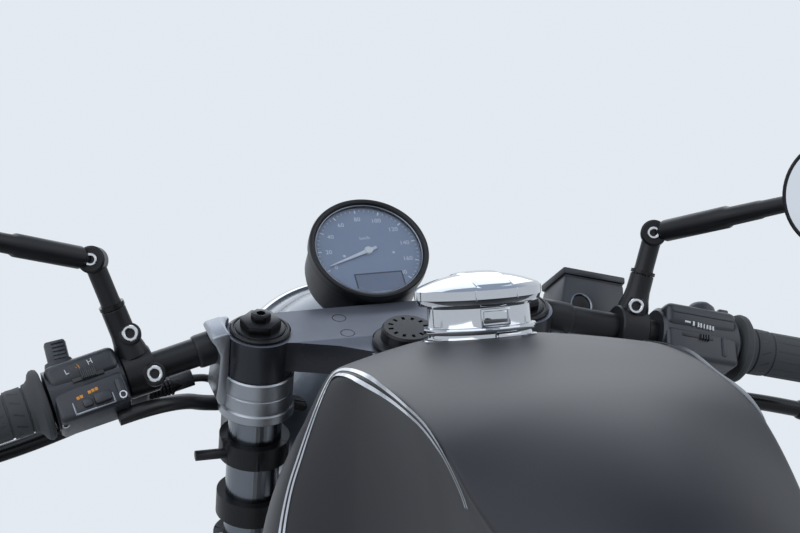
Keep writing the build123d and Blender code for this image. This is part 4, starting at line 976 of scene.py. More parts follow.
@dataclass
class Instrument:
    """Round speedometer in its deep cup, with dial, needle, display and glass."""

    radius: float = 47.5 * MM
    depth: float = 44 * MM
    seat: Point = (0.0, 0.1056, 0.0268)
    tilt: float = 26.0
    zero: float = 203.5
    step: float = 27.6
    marks: int = 10

    def at(self) -> Matrix:
        """Frame on the bezel's plane, Z to the rider."""
        return STEER @ place(*self.seat) @ spin(self.tilt, "X")

    def build(self) -> None:
        """Make the cup, bezel, dial face and needle."""
        r, m = self.radius, MM
        cup = Bench.turn("gauge_cup_shell", [
            (0, -self.depth), (r - 9 * m, -self.depth), (r - 4 * m, -self.depth + 4 * m),
            (r - 2.6 * m, -self.depth + 9 * m),
            (r - 2.2 * m, -9 * m), (r - 1.6 * m, -8 * m), (r - 0.3 * m, -7.6 * m), (r, -7 * m), (r, 0.4 * m),
            (r - 0.6 * m, 1.6 * m),
            (r - 2.2 * m, 2 * m), (r - 3.6 * m, 1.4 * m), (r - 4.4 * m, 0.2 * m), (r - 4.6 * m, -5 * m),
            (0, -5 * m)],
            self.at(), 128)
        Bench.dress(cup, SATIN_BLACK, "steering", "gauge_cup", angle=25)
        ring = Bench.turn("bezel_ring", arc((r - 5.2 * m, -0.6 * m), 0.8 * m, 0, 360, 12), self.at(), 128,
                          loop=True)
        Bench.dress(ring, FORK_GREY, "steering", angle=60)
        self.make_dial()
        glass = Bench.turn("gauge_glass", [(0, -0.4 * m), (r - 5.4 * m, -0.9 * m), (r - 5.4 * m, -1.7 * m),
                                           (0, -1.4 * m)], self.at(), 96)
        Bench.dress(glass, CLEAR_GLASS, "steering")

    def polar(self, radius: float, angle: float, lift: float) -> Point:
        """Point on the dial at a radius and an angle from three o'clock."""
        a = math.radians(angle)
        return (radius * math.cos(a), radius * math.sin(a), lift)

    def make_dial(self) -> None:
        """Dial plate with ticks, numbers, display window and needle."""
        m, top = MM, -4.2 * MM
        dial = Bench.turn("dial_plate", [(0, -5.2 * m), mm(42.4, -5.2), (42.4 * m, top - 0.3 * m),
                                         (42 * m, top), (0, top)], self.at(), 96)
        Bench.dress(dial, DIAL_SLATE, "steering", "gauge_face")
        ticks, numbers = [], []
        for i in range((self.marks - 1) * 5 + 1):
            angle = self.zero - self.step * i / 5
            long = i % 5 == 0
            inner = 37.2 if long else 38.8
            tick_at = self.at() @ place(*self.polar((inner + 40.4) / 2 * m, angle, top)) @ spin(angle, "Z")
            half, wide = mm((40.4 - inner) / 2, 0.55 if long else 0.25)
            ticks.append(Bench.block("tick", (-half, -wide, 0), (half, wide, 0.12 * m), tick_at))
            if long:
                spot = self.at() @ place(*self.polar(31.4 * m, angle, top))
                numbers.append(Bench.text("number", str(i * 4), 5.4 * m, spot))
        Bench.dress(Bench.join("dial_ticks", ticks), MARK_WHITE, "steering")
        Bench.dress(Bench.join("dial_numbers", numbers), MARK_WHITE, "steering")
        unit = Bench.text("dial_unit", "km/h", 4.2 * m, self.at() @ place(0, 13 * m, top))
        Bench.dress(unit, MARK_WHITE, "steering")
        corners = ((-15.5, -21.5), (-15.5, -37.5), (18, -37.5), (19.8, -36.5), (21.5, -35.6), (21.5, -21.5))
        window = Bench.plate("display_window", in_mm(*corners), top, top + 0.25 * m, self.at(), 0.05 * m)
        Bench.dress(window, DISPLAY, "steering")
        # Thin dark strips along the window's top, left and right: painted shade of its inset edge.
        for name, low, high in (("top", (-15.5, -21.6), (21.5, -20.4)),
                                ("left", (-16.5, -34), (-15.3, -20.4)),
                                ("right", (21.3, -34), (22.5, -20.4))):
            shade = Bench.block(f"display_frame_{name}", (low[0] * m, low[1] * m, top),
                                (high[0] * m, high[1] * m, top + 0.4 * m), self.at(), 0.1 * m)
            Bench.dress(shade, SLATE_BLACK, "steering")
        lamps = [Bench.turn("dial_lamp", in_mm((0, 0.3), (0.9, 0.25), (1.2, 0), (0, 0)),
                            self.at() @ place(x * m, -2.6 * m, top), 16) for x in (-20, 20)]
        Bench.dress(Bench.join("dial_lamps", lamps), MARK_WHITE, "steering")
        needle_at = self.at() @ place(0, 0, top + 1.3 * m) @ spin(self.zero - 4, "Z")
        needle = Bench.plate("needle", in_mm((-7.5, -1.1), (0, -1.7), (35, -0.45), (36.4, 0), (35, 0.45),
                                             (0, 1.7), (-7.5, 1.1)), 0, 0.7 * m, needle_at, 0.15 * m)
        Bench.dress(needle, MARK_WHITE, "steering")
        hub = Bench.turn("needle_hub", in_mm((0, -1.2), (3.4, -1.2), (3.4, 0.9), (2.8, 1.5), (0, 1.6)),
                         needle_at, 32)
        Bench.dress(hub, MARK_WHITE, "steering")


@dataclass
class TopYoke:
    """Anodised yoke plate with flush plugs, fork caps and the slotted stem nut."""

    leg_x: float = 103.5 * MM
    leg_y: float = 40 * MM
    boss: float = 25.75 * MM
    deep: float = 32 * MM
    thick: float = 25 * MM

    def build(self) -> None:
        """Make the plate with its bosses, then what is screwed to it."""
        m, x, y = MM, self.leg_x, self.leg_y
        corner = arc((-x + 4 * m, 61.5 * m), 4 * m, 180, 90, 3)
        right = [(-px, py) for px, py in reversed(corner)]
        outline = [(-x, 22 * m), *corner, *right, (x, 22 * m), mm(80, 17.5), mm(50, 7.5), mm(26, -6),
                   *arc((0, 0), 31 * m, -15, -165, 10), mm(-26, -6), mm(-50, 7.5), mm(-80, 17.5)]
        plate = Bench.plate("yoke_plate", outline[::-1], -self.thick, 0)
        for side in (-1, 1):
            boss = Bench.turn("boss", [(0, -self.deep), (self.boss, -self.deep), (self.boss, 0), (0, 0)],
                              place(side * x, y, 0), 96)
            Bench.cut(plate, boss, "UNION")
        Bench.bevel(plate, 1.1 * m, 3, 40)
        Bench.seat(plate, STEER)
        Bench.dress(plate, YOKE_BLACK, "steering", "top_yoke", angle=28)
        # Faces that look straight up get the lighter copy: painted sheen on the yoke's top face.
        plate.data.materials.append(YOKE_TOP_SHEEN.build())
        upward = STEER.to_3x3() @ Vector((0, 0, 1))
        for face in plate.data.polygons:
            face.material_index = int(face.normal.dot(upward) > 0.98)
        for side, label in ((-1, "left"), (1, "right")):
            for k, b in enumerate((49, 25.6)):
                ring = Bench.turn(f"yoke_plug_ring_{label}_{k}",
                                  in_mm((5.6, 0.02), (5.2, 0.12), (4.8, 0.02), (5.2, -0.3), (5.6, 0.02)),
                                  STEER @ place(*mm(side * 39, b, 0)), 48, loop=True)
                Bench.dress(ring, HARD_BLACK, "steering")
            self.fork_cap(side, label)
        self.stem_nut()

    def fork_cap(self, side: int, label: str) -> None:
        """Flanged cap with a hexagon, a smaller one on it and two dots."""
        m = MM
        at = STEER @ place(side * self.leg_x, self.leg_y, 0)
        flange = Bench.turn(f"fork_cap_flange_{label}",
                            in_mm((0, 0.2), (22.6, 0.2), (23.2, 0.8), (23.2, 2.2), (22, 3.2), (20.6, 3.4),
                                  (20, 2.6), (19.2, 2.6), (18.8, 3.6), (17.4, 4), (0, 4)), at, 96)
        Bench.dress(flange, HARD_BLACK, "steering", "fork_caps", angle=25)
        turn = at @ spin(18 * side, "Z")
        big = Bench.plate(f"fork_cap_hexagon_{label}", arc((0, 0), 15.8 * m, 0, 300, 5), 3.6 * m, 10.4 * m,
                          turn, 0.9 * m)
        Bench.dress(big, HARD_BLACK, "steering")
        small = Bench.plate(f"fork_cap_adjuster_{label}", arc((0, 0), 7.8 * m, 0, 300, 5), 10 * m, 15.4 * m,
                            turn, 0.7 * m)
        Bench.cut(small, Bench.turn("cap_bore", in_mm((0, 9), (3.4, 9), (3.4, 18), (0, 18)), turn, 24))
        Bench.dress(small, HARD_BLACK, "steering")
        for k in (0, 1):
            dot_at = turn @ spin(90 + 180 * k, "Z") @ place(*mm(11.3, 0, 10.3))
            dot = Bench.turn(f"fork_cap_dot_{label}_{k}",
                             in_mm((0, -0.5), (1.3, -0.5), (1.1, 0.35), (0, 0.4)), dot_at, 16)
            Bench.dress(dot, SATIN_BLACK, "steering")

    def stem_nut(self) -> None:
        """Round nut with a ring of twelve slots."""
        nut = Bench.turn("stem_nut_body",
                         in_mm((0, 0.1), (25.6, 0.1), (26.4, 0.9), (26.4, 4), (25, 5.2), (20.4, 6),
                               (19.8, 13.6), (18.6, 15.4), (0, 15.6)), Matrix(), 96)
        slot = Bench.block("slot_tool", mm(11.6, -1.2, 13.8), mm(15.4, 1.2, 20))
        Bench.cut(nut, Bench.around("slot_tools", slot, 12))
        Bench.seat(nut, STEER)
        Bench.dress(nut, HARD_BLACK, "steering", "stem_nut", angle=25)
        # Dark blocks on the floors of the twelve slots: painted shade in the slots.
        dark = Bench.block("stem_nut_slot_shadow", mm(11.7, -1.1, 13.4), mm(15.3, 1.1, 13.9))
        Bench.dress(Bench.around("stem_nut_slot_painted_shade", dark, 12, STEER), HOSE_RUBBER_AND_SHADE, "steering")


@dataclass
class ClipOns:
    """Blasted alloy clamps under the yoke, each with its raised bar bracket."""

    ring: float = 27.5 * MM
    bottom: float = 29 * MM
    top: float = -32.5 * MM
    tops: Pair = mm(3, -22)

    def build(self) -> None:
        """Make both clamps and their screws."""
        for side, label in ((-1, "left"), (1, "right")):
            self.clamp(side, label)

    def clamp(self, side: int, label: str) -> None:
        """One clamp: stepped ring, bracket plate and bar socket."""
        m, c = MM, self.top
        yoke = TopYoke()
        ring = Bench.turn("clip_ring", [
            (21 * m, c - 35 * m), (self.bottom - 1 * m, c - 35 * m), (self.bottom, c - 34 * m),
            (self.bottom, c - 27.5 * m),
            (self.bottom - 1 * m, c - 26.6 * m), (self.ring + 0.2 * m, c - 26.2 * m),
            (self.ring, c - 25.6 * m),
            (self.ring, c - 15.2 * m), (self.ring - 0.8 * m, c - 14.6 * m),
            (self.ring - 0.8 * m, c - 13.4 * m),
            (self.ring, c - 12.8 * m), (self.ring, c - 1.2 * m), (self.ring - 1.2 * m, c), (21 * m, c),
            (21 * m, c - 35 * m)],
            place(side * yoke.leg_x, yoke.leg_y, 0), 96, loop=True)
        x = yoke.leg_x
        top = self.tops[side > 0]
        web = [(x + 20 * m, c - 26 * m), (x + 31 * m, c - 25 * m), (x + 34 * m, c - 18 * m),
               (x + 33 * m, c - 6 * m), (x + 32 * m, top - 18 * m), (x + 36 * m, top - 9 * m),
               (x + 40 * m, top - 4 * m), (x + 38 * m, top - 1 * m), (x + 28 * m, top + 1.5 * m),
               (x + 20 * m, top + 1.5 * m)]
        arm = Bench.plate("clip_arm", [(side * a, b) for a, b in web][::side], -60 * m, -32 * m,
                          spin(90, "X"), 3.5 * m)
        bore = Bench.turn("bore", [(0, c - 50 * m), (20.6 * m, c - 50 * m), (20.6 * m, c), (26.4 * m, c),
                                   mm(26.4, 20), (0, 20 * m)], place(side * x, yoke.leg_y, 0), 64)
        Bench.cut(arm, bore)
        Bench.seat(ring, STEER)
        Bench.seat(arm, STEER)
        bar = Bar(side)
        socket = Bench.turn("bar_socket",
                            in_mm((10.9, -5), (12, -5), (12.6, -4), (12.8, 2), (12.8, 16), (12.4, 18),
                                  (12, 18.6), (10.9, 18.6), (10.9, -5)), bar.along(0), 64, loop=True)
        Bench.dress(ring, CLAMP_SILVER, "steering", "clip_ons", angle=28)
        ring.name = f"clip_on_ring_{label}"
        arm.name = f"clip_on_bracket_{label}"
        Bench.bevel(arm, 0.8 * m, 2, 40)
        Bench.dress(arm, CLAMP_SILVER, "steering", angle=30)
        socket.name = f"clip_on_socket_{label}"
        Bench.dress(socket, SATIN_BLACK, "steering", angle=30)
        lug = Bench.block(f"clip_on_lug_{label}", (side * x - 8 * m, 65 * m, c - 24 * m),
                          (side * x + 8 * m, 78 * m, c - 3 * m), STEER, 2.2 * m, 3)
        Bench.dress(lug, CLAMP_SILVER, "steering")
        for k, depth in enumerate((-8, -19)):
            seat = STEER @ axes((side * (x - 8 * m), 71.5 * m, c + depth * m), (0, 0, 1), (-side, 0, 0))
            SCREWS.screw(f"clip_on_screw_{label}_{k}", seat, "steering", 0.9)


@dataclass
class Grip:
    """Moulded rubber grip: flared collar, ring grooves, slash grooves and long ribs; the slash grooves are
    dark dashes of painted shade.
    """

    side: int
    start: float
    end: float = 0.276

    def build(self) -> None:
        """Make the rubber and what is moulded into it."""
        m, bar = MM, Bar(self.side)
        node = "grip_left" if self.side < 0 else "grip_right"
        long = (self.end - self.start) / m
        at = bar.along(self.start)
        outline = [(11.4, -1), (24, -1), (26.4, 0), (27.4, 2.4), (27, 5), (25, 7), (21.4, 8.6), (19.6, 10.6),
                   (18.9, 13.6), (17.4, 14), (17.4, 15.2), (18.5, 15.6), (18.2, 29), (17, 29.4), (17, 30.8),
                   (17.7, 31.2), (17.2, long - 8), (18.8, long - 7), (19, long - 2), (17.5, long), (0, long)]
        rubber = Bench.turn(f"{node}_rubber", in_mm(*outline), at, 96)
        Bench.dress(rubber, GRIP_RUBBER, "steering", node, angle=28)
        # Darker dashes at the slash grooves: painted shade in the grooves.
        dash = Bench.block("dash", mm(17.4, -0.6, -4.2), mm(18.45, 0.6, 4.2),
                           place(0, 0, 22.4 * m) @ spin(24 * self.side, "X"))
        Bench.dress(Bench.around(f"{node}_slash_shade", dash, 12, at), HOSE_RUBBER_AND_SHADE, "steering")
        rib = Bench.block("rib", mm(16.6, -1.3, 33), mm(17.85, 1.3, long - 12), Matrix(), 0.5 * m)
        Bench.dress(Bench.around(f"{node}_ribs", rib, 14, at), GRIP_RUBBER, "steering")


@dataclass
class Switches:
    """Both switch housings with their keys and marks."""

    left: Pair = (0.076, 0.134)
    right: Pair = (0.0935, 0.160)
    lean: float = 24.0

    def build(self) -> None:
        """Make the left housing, then the right one."""
        self.left_side(self.shell(-1, self.left, "left"))
        self.right_side(self.shell(1, self.right, "right"))

    def shell(self, side: int, span: Pair, label: str) -> Matrix:
        """Two-part housing round the bar.

        Args:
            side: -1 left, 1 right.
            span: Where it starts and ends on the bar.
            label: Its side in words.

        Returns:
            Frame at its middle: X right, Y up, Z to the rider.
        """
        m, bar = MM, Bar(side)
        middle, half = sum(span) / 2, (span[1] - span[0]) / 2
        at = bar.facing(middle, self.lean)
        drum = Bench.turn(f"switch_{label}_drum",
                          [(11.1 * m, -half), (19 * m, -half), (21.4 * m, 2.4 * m - half),
                           (23 * m, half - 3 * m), (23 * m, half - 0.4 * m), (11.1 * m, half + 1.6 * m)],
                          bar.along(middle), 64)
        Bench.dress(drum, SWITCH_BLACK, "steering", f"switch_{label}")
        edge = half - 1.2 * m
        upper = Bench.block(f"switch_{label}_upper", (-edge, 0.25 * m, -14 * m), (edge, 20.5 * m, 23.6 * m),
                            at, 6 * m, 4)
        lower = Bench.block(f"switch_{label}_lower", (-edge, -25.5 * m, -18 * m), (edge, -0.25 * m, 22.4 * m),
                            at, 4 * m, 4)
        for part in (upper, lower):
            Bench.dress(part, SWITCH_BLACK, "steering")
        seam = Bench.block(f"switch_{label}_seam", (-edge + 1.2 * m, -1 * m, -12 * m),
                           (edge - 1.2 * m, 1 * m, 21.4 * m), at)
        Bench.dress(seam, HOSE_RUBBER_AND_SHADE, "steering")
        return at

    def key(self, name: str, low: Point, high: Point, at: Matrix, finish: Finish, bevel: float = 0.8) -> None:
        """Set one key or mark, with its corners in millimetres."""
        made = Bench.block(name, mm(*low), mm(*high), at, bevel * MM)
        Bench.dress(made, finish, "steering")

    def left_side(self, at: Matrix) -> None:
        """Thumb lever, dip slider, turn and horn keys of the left housing."""
        m = MM
        self.key("thumb_base", (-25, 16, -8), (-3, 25, 17), at, SWITCH_BLACK, 3)
        paddle = at @ place(*mm(-12.5, 29, 8)) @ spin(-14, "X") @ spin(-6, "Z")
        self.key("thumb_lever", (-8.4, -9, -5), (8.4, 13, 5), paddle, SWITCH_BLACK, 2.6)
        for i in range(5):
            self.key(f"thumb_rib_{i}", (-3, -5 + 3.5 * i, 4), (6.4, -3.2 + 3.5 * i, 5.9), paddle, SLATE_BLACK,
                     0.5)
        # Dark strip where the dip slider runs: painted shade in its slot.
        self.key("dip_slot_shade", (-9.5, 0.6, 22), (15, 3.8, 23.8), at, HOSE_RUBBER_AND_SHADE, 0.5)
        for i in range(8):
            self.key(f"dip_rib_{i}", (-2.2 + 1.5 * i, 0.8, 22), (-1.3 + 1.5 * i, 9, 27 - 0.25 * i), at,
                     SLATE_BLACK, 0.25)
        self.key("dip_body", (-2.4, 1, 21), (9.6, 8, 25), at, SWITCH_BLACK, 1)
        for name, words, x, y, finish in (("dip_low", "L", -11.4, 10.4, MARK_WHITE),
                                          ("dip_high", "H", 7.4, 12.4, MARK_WHITE),
                                          ("dip_flash", "·)", -2.4, 11.4, MARK_ORANGE)):
            mark = Bench.text(name, words, 6 * m, at @ place(*mm(x, y, 23.65)) @ spin(8, "Z"))
            Bench.dress(mark, finish, "steering")
        face = 22.45
        # Dark plate round the horn and turn keys: painted shade in their well.
        self.key("horn_well_shade", (-13, -22.4, face - 2), (14.4, -13, face + 0.15), at, HOSE_RUBBER_AND_SHADE, 0.8)
        for name, low, high in (("frame_foot", (-14.4, -24), (16, -22.4)),
                                ("frame_left", (-15.6, -24), (-14.1, -13.6)),
                                ("frame_right", (14.7, -24), (16.1, -15.6))):
            self.key(f"horn_{name}", (*low, face - 2), (*high, face + 1), at, FORK_GREY, 0.5)
        self.key("horn_key", (-8, -20.6, face - 2), (-0.4, -14.4, face + 3), at, SLATE_BLACK, 1.6)
        self.key("turn_key", (1, -21, face - 2), (14, -13.2, face + 4.5), at, SWITCH_BLACK, 1.4)
        for k, (x, y) in enumerate(((-9.8, -11.4), (-7, -11), (-0.4, -9.6), (2.4, -9.2), (5.2, -8.9))):
            self.key(f"turn_mark_{k}", (x - 1.2, y - 1.3, face - 1), (x + 1.2, y + 1.3, face + 0.15), at,
                     MARK_ORANGE, 0.3)
        self.key("screw_post", (19, -24, face - 6), (25.6, -6, face + 1.8), at, SWITCH_BLACK, 2.4)
        SCREWS.screw("switch_left_screw", at @ place(*mm(22.4, -20.4, face + 1.4)), "steering", 0.7)
        SCREWS.screw("switch_left_low_screw", at @ place(*mm(-24, -24.4, 12)) @ spin(50, "X"), "steering",
                     0.62)

    def right_side(self, at: Matrix) -> None:
        """Engine stop key, start knob and light slider of the right housing."""
        self.key("stop_deck", (-13, 12, -9), (22, 21, 19), at, SWITCH_BLACK, 2)
        self.key("deck_ledge", (-27, 11, -12), (28, 13.4, 24.4), at, SLATE_BLACK, 1)
        knob = Bench.turn("start_knob", in_mm((12, 0), (12.4, 2), (11.4, 6), (8, 9.4), (0, 10.6)),
                          at @ place(*mm(8, 20, 6)) @ spin(-90, "X"), 48)
        Bench.dress(knob, SWITCH_BLACK, "steering")
        self.key("start_tab", (22, 14, -2), (31, 27, 12), at, SLATE_BLACK, 1.6)
        for k, (x, w, y) in enumerate(((-14, 5, 4.6), (-8.6, 1.6, 4), (-4.4, 1.3, 3.6), (-2, 1.3, 3.4),
                                       (0.8, 0.9, 3.2), (3.6, 1.3, 3), (6.2, 1.3, 2.8), (8.8, 1.3, 2.6))):
            high = 0.8 if k == 0 else 1.9
            self.key(f"light_mark_{k}", (x - w / 2, y - high, 22), (x + w / 2, y + high, 23.75), at,
                     MARK_WHITE, 0.2)
        # Dark strip where the light slider runs: painted shade in its slot.
        self.key("light_slot_shade", (-19, -7.6, 21), (9, -4.6, 23), at, HOSE_RUBBER_AND_SHADE, 0.6)
        for i in range(4):
            self.key(f"light_rib_{i}", (-3 + 2.3 * i, -8.4, 21), (-1.8 + 2.3 * i, -3.6, 25), at, SLATE_BLACK,
                     0.4)
        self.key("right_rib", (16, -20, 16), (21, -3, 23.6), at, SLATE_BLACK, 1.8)
        strip = Bench.turn("throttle_collar", in_mm((11.2, -1), (19, -1), (19, 4), (17, 5.8), (11.2, 5.8)),
                           RIGHT.along(self.right[1]), 64)
        Bench.dress(strip, FORK_GREY, "steering")


@dataclass
class Mirror:
    """Round mirror on a stem from the lever perch, with a jointed arm."""

    side: int
    clamp: float
    knuckle: Point
    middle: Point
    normal: Point = (-0.22, -0.90, 0.37)
    radius: float = 43.0

    def spot(self, point: Point) -> Vector:
        """Place in the world of a point given in millimetres of the steering frame."""
        return STEER @ Vector(mm(self.side * point[0], point[1], point[2]))

    def lathe(self, name: str, outline: Sequence[Pair], at: Matrix, finish: Finish,
              *node: str) -> bpy.types.Object:
        """Turn one part of the mirror from millimetres."""
        made = Bench.turn(name, in_mm(*outline), at, 64)
        return Bench.dress(made, finish, "steering", *node, angle=28)

    def build(self) -> None:
        """Make the stem, knuckle, arm, shell and glass."""
        label = "left" if self.side < 0 else "right"
        bar = Bar(self.side)
        foot, top, middle = bar.spot(self.clamp), self.spot(self.knuckle), self.spot(self.middle)
        run = top - foot
        up = run.length / MM
        stem = axes(foot, (1, 0, 0), run)
        self.lathe(f"mirror_{label}_sleeve",
                   [(0, 14), (13, 14), (12, 20), (10.4, 26), (9.6, 32), (9.4, up * 0.56), (8.8, up * 0.57),
                    (0, up * 0.57)], stem, SATIN_BLACK, "mirrors")
        self.lathe(f"mirror_{label}_ring",
                   [(0, up * 0.575), (9.8, up * 0.575), (9.8, up * 0.61), (0, up * 0.61)], stem, HARD_BLACK)
        self.lathe(f"mirror_{label}_stem",
                   [(0, up * 0.6), (8, up * 0.6), (7.6, up * 0.64), (7.6, up), (0, up)], stem, SATIN_BLACK)
        self.lathe(f"mirror_{label}_knuckle",
                   [(0, -10), (8.8, -10), (10.4, -8.4), (10.4, 8.4), (8.8, 10), (0, 10)],
                   axes(top, (1, 0, 0), (-0.35, -0.93, 0.1)), SATIN_BLACK)
        SCREWS.screw(f"mirror_{label}_top_screw",
                     axes(top, (1, 0, 0), (-0.35, -0.93, 0.1)) @ place(0, 0, 10 * MM), "steering", 1.05)
        share, aside = (0.32, 4.4) if self.side < 0 else (0.22, 0.4)
        seat = axes(foot + run * share, (1, 0, 0), (-0.2, -0.95, 0.2))
        self.lathe(f"mirror_{label}_boss", [(0, 0), (8.4, 0), (8.4, 10.4), (7.4, 11.2), (0, 11.2)],
                   seat @ place(aside * MM, 0, 0), SATIN_BLACK)
        SCREWS.screw(f"mirror_{label}_stem_screw", seat @ place(*mm(aside, 0, 11.2)), "steering", 1.35)
        if self.side < 0:
            low = bar.facing(self.clamp - 8.5 * MM, 10)
            self.lathe("perch_left_boss", [(0, 4), (9, 4), (9, 18), (7.8, 19.2), (0, 19.2)],
                       low @ place(0, -6.5 * MM, 0), SATIN_BLACK)
            SCREWS.screw("perch_left_screw", low @ place(*mm(0, -6.5, 19.2)), "steering", 1.35)
        away = Vector((self.side * self.normal[0], *self.normal[1:]))
        normal = (STEER.to_3x3() @ away).normalized()
        back = middle - normal * 15 * MM
        out = back - top
        arm = axes(top, (0, 0, 1), out)
        far = out.length / MM
        self.lathe(f"mirror_{label}_arm",
                   [(0, 0), (6.4, 2), (7, 12), (8.6, 14), (8.8, far * 0.42), (7.4, far * 0.44),
                    (7.2, far * 0.6), (6.6, far * 0.62), (5.8, far), (0, far)], arm, SATIN_BLACK)
        r = self.radius
        face = axes(middle, (1, 0, 0), normal)
        self.lathe(f"mirror_{label}_shell",
                   [(0, -17), (12, -16.6), (20, -14.6), (r - 12, -11), (r - 4, -7.4), (r - 0.6, -3.4),
                    (r, -0.8), (r - 0.8, 0), (r - 2, 0), (r - 2.6, -1.6), (0, -1.6)], face, SATIN_BLACK)
        self.lathe(f"mirror_{label}_glass", [(0, -0.4), (r * 0.4, -0.55), (r * 0.7, -0.9), (r - 3, -1.5),
                                             (r - 3, -1.7), (0, -1.7)], face, MIRROR_FACE, "mirror_glass")


@dataclass
class Levers:
    """Clutch and brake levers with their perches, and the master's reservoir."""

    perches: Pair = (63.5, 71.0)
    tip: float = 270.0
    drops: Pair = (4.0, 13.0)

    def build(self) -> None:
        """Make both levers, the cable adjuster and the reservoir."""
        for side, label, perch, drop in zip((-1, 1), ("clutch", "brake"), self.perches, self.drops):
            self.lever(side, label, perch, drop)
        self.adjuster()
        self.reservoir()

    @staticmethod
    def at(side: int, s: float, ahead: float, down: float) -> Vector:
        """Point beside the bar from millimetres along, ahead of and below it."""
        return Bar(side).facing(s * MM, 24) @ Vector(mm(0, -down, -ahead))

    def lever(self, side: int, label: str, perch_at: float, drop: float) -> None:
        """One lever: clamp ring, perch and a blade that ends in a ball."""
        m, bar = MM, Bar(side)
        ring = Bench.turn(f"{label}_perch_ring", in_mm((11.1, -12), (16.8, -12), (18, -10.8), (18, 10.8),
                                                       (16.8, 12), (11.1, 12)), bar.along(perch_at * m), 64)
        Bench.dress(ring, SATIN_BLACK, "steering", f"{label}_lever")
        at = bar.facing((perch_at + 7) * m, 24)
        perch = Bench.block(f"{label}_perch", mm(-13, -(drop + 8), -60), mm(13, 8 - drop, -12), at, 5 * m, 3)
        Bench.dress(perch, SATIN_BLACK, "steering")
        route = [(perch_at + 16, 50, 0), (perch_at + 34, 55, 0), (perch_at + 58, 61, 1), (160, 64, 2),
                 (200, 62, 2), (240, 62, 1), (self.tip, 66, 0)]
        line = [self.at(side, s, ahead, drop + dip) for s, ahead, dip in route]
        blade = Bench.tube(f"{label}_blade", line, 6.6 * m, steps=8)
        Bench.dress(blade, HARD_BLACK, "steering", angle=50)
        ball = Bench.turn(f"{label}_ball", arc((0, 0), 8.4 * m, -90, 90, 12), place(*line[-1]), 32)
        Bench.dress(ball, HARD_BLACK, "steering", angle=50)

    def adjuster(self) -> None:
        """Ribbed cable adjuster at the clutch perch."""
        outline = [(0, 0), (6.6, 0), (6.6, 3)]
        for i in range(5):
            outline += [(5.6, 3.6 + 3 * i), (6.6, 4.2 + 3 * i), (6.6, 5.8 + 3 * i), (5.6, 6.4 + 3 * i)]
        outline += [(5, 19), (4.4, 22), (3.4, 24), (3.2, 29), (0, 29)]
        start = self.at(-1, self.perches[0] - 6, 46, 5)
        made = Bench.turn("clutch_adjuster", in_mm(*outline), axes(start, (0, 0, 1), LEFT.right()), 40)
        Bench.dress(made, HARD_BLACK, "steering", angle=30)

    def reservoir(self) -> None:
        """Square fluid reservoir with a sight glass, a lid line and screws."""
        m = MM
        at = RIGHT.facing(0, 24)
        for name, outline, low, high, bevel, finish in (
            ("reservoir_body", [(19, -2), (82, -2), (82, 49.4), (28.8, 49.4)], -62, -22, 2.6, SWITCH_BLACK),
            ("reservoir_gasket", [(29.8, 48.8), (81.2, 48.8), (81.2, 50.6), (29.6, 50.6)], -61, -23, 0.2,
             HOSE_RUBBER_AND_SHADE),
            ("reservoir_lid", [(28, 50.2), (82.8, 50.2), (82.8, 56), (27.4, 56)], -62.8, -21.2, 1.4,
             SWITCH_BLACK),
        ):
            part = Bench.plate(name, in_mm(*outline), low * m, high * m, at, bevel * m)
            Bench.dress(part, finish, "steering", *(["brake_reservoir"] if name == "reservoir_body" else []))
        glass_at = at @ place(*mm(42, 25, -22))
        ring = Bench.turn("sight_ring", in_mm((8.2, -1), (9.8, -1), (9.8, 1), (8.8, 1.4), (8.2, 1),
                                              (8.2, -1)), glass_at, 48, loop=True)
        Bench.dress(ring, FORK_GREY, "steering")
        window = Bench.turn("sight_glass", in_mm((0, 0.9), (6, 0.7), (8.2, 0.2), (8.2, -0.5), (0, -0.5)),
                            glass_at, 48)
        Bench.dress(window, SATIN_BLACK, "steering")
        for x in (34, 77):
            for z in (-57, -27):
                SCREWS.screw(f"lid_screw_{x}_{-z}", at @ place(*mm(x, 56, z)) @ spin(-90, "X"), "steering",
                             0.6)


@dataclass
class HandleTubes:
    """The two bar tubes with closed ends."""

    length: float = 270.0

    def build(self) -> None:
        """Make the left tube and the right one."""
        for side, label in ((-1, "left"), (1, "right")):
            tube = Bench.turn(f"handlebar_{label}", in_mm((0, 2), (10, 2), (11, 3), (11, self.length),
                                                          (0, self.length)), Bar(side).along(0), 64)
            Bench.dress(tube, SATIN_BLACK, "steering", "handlebars")


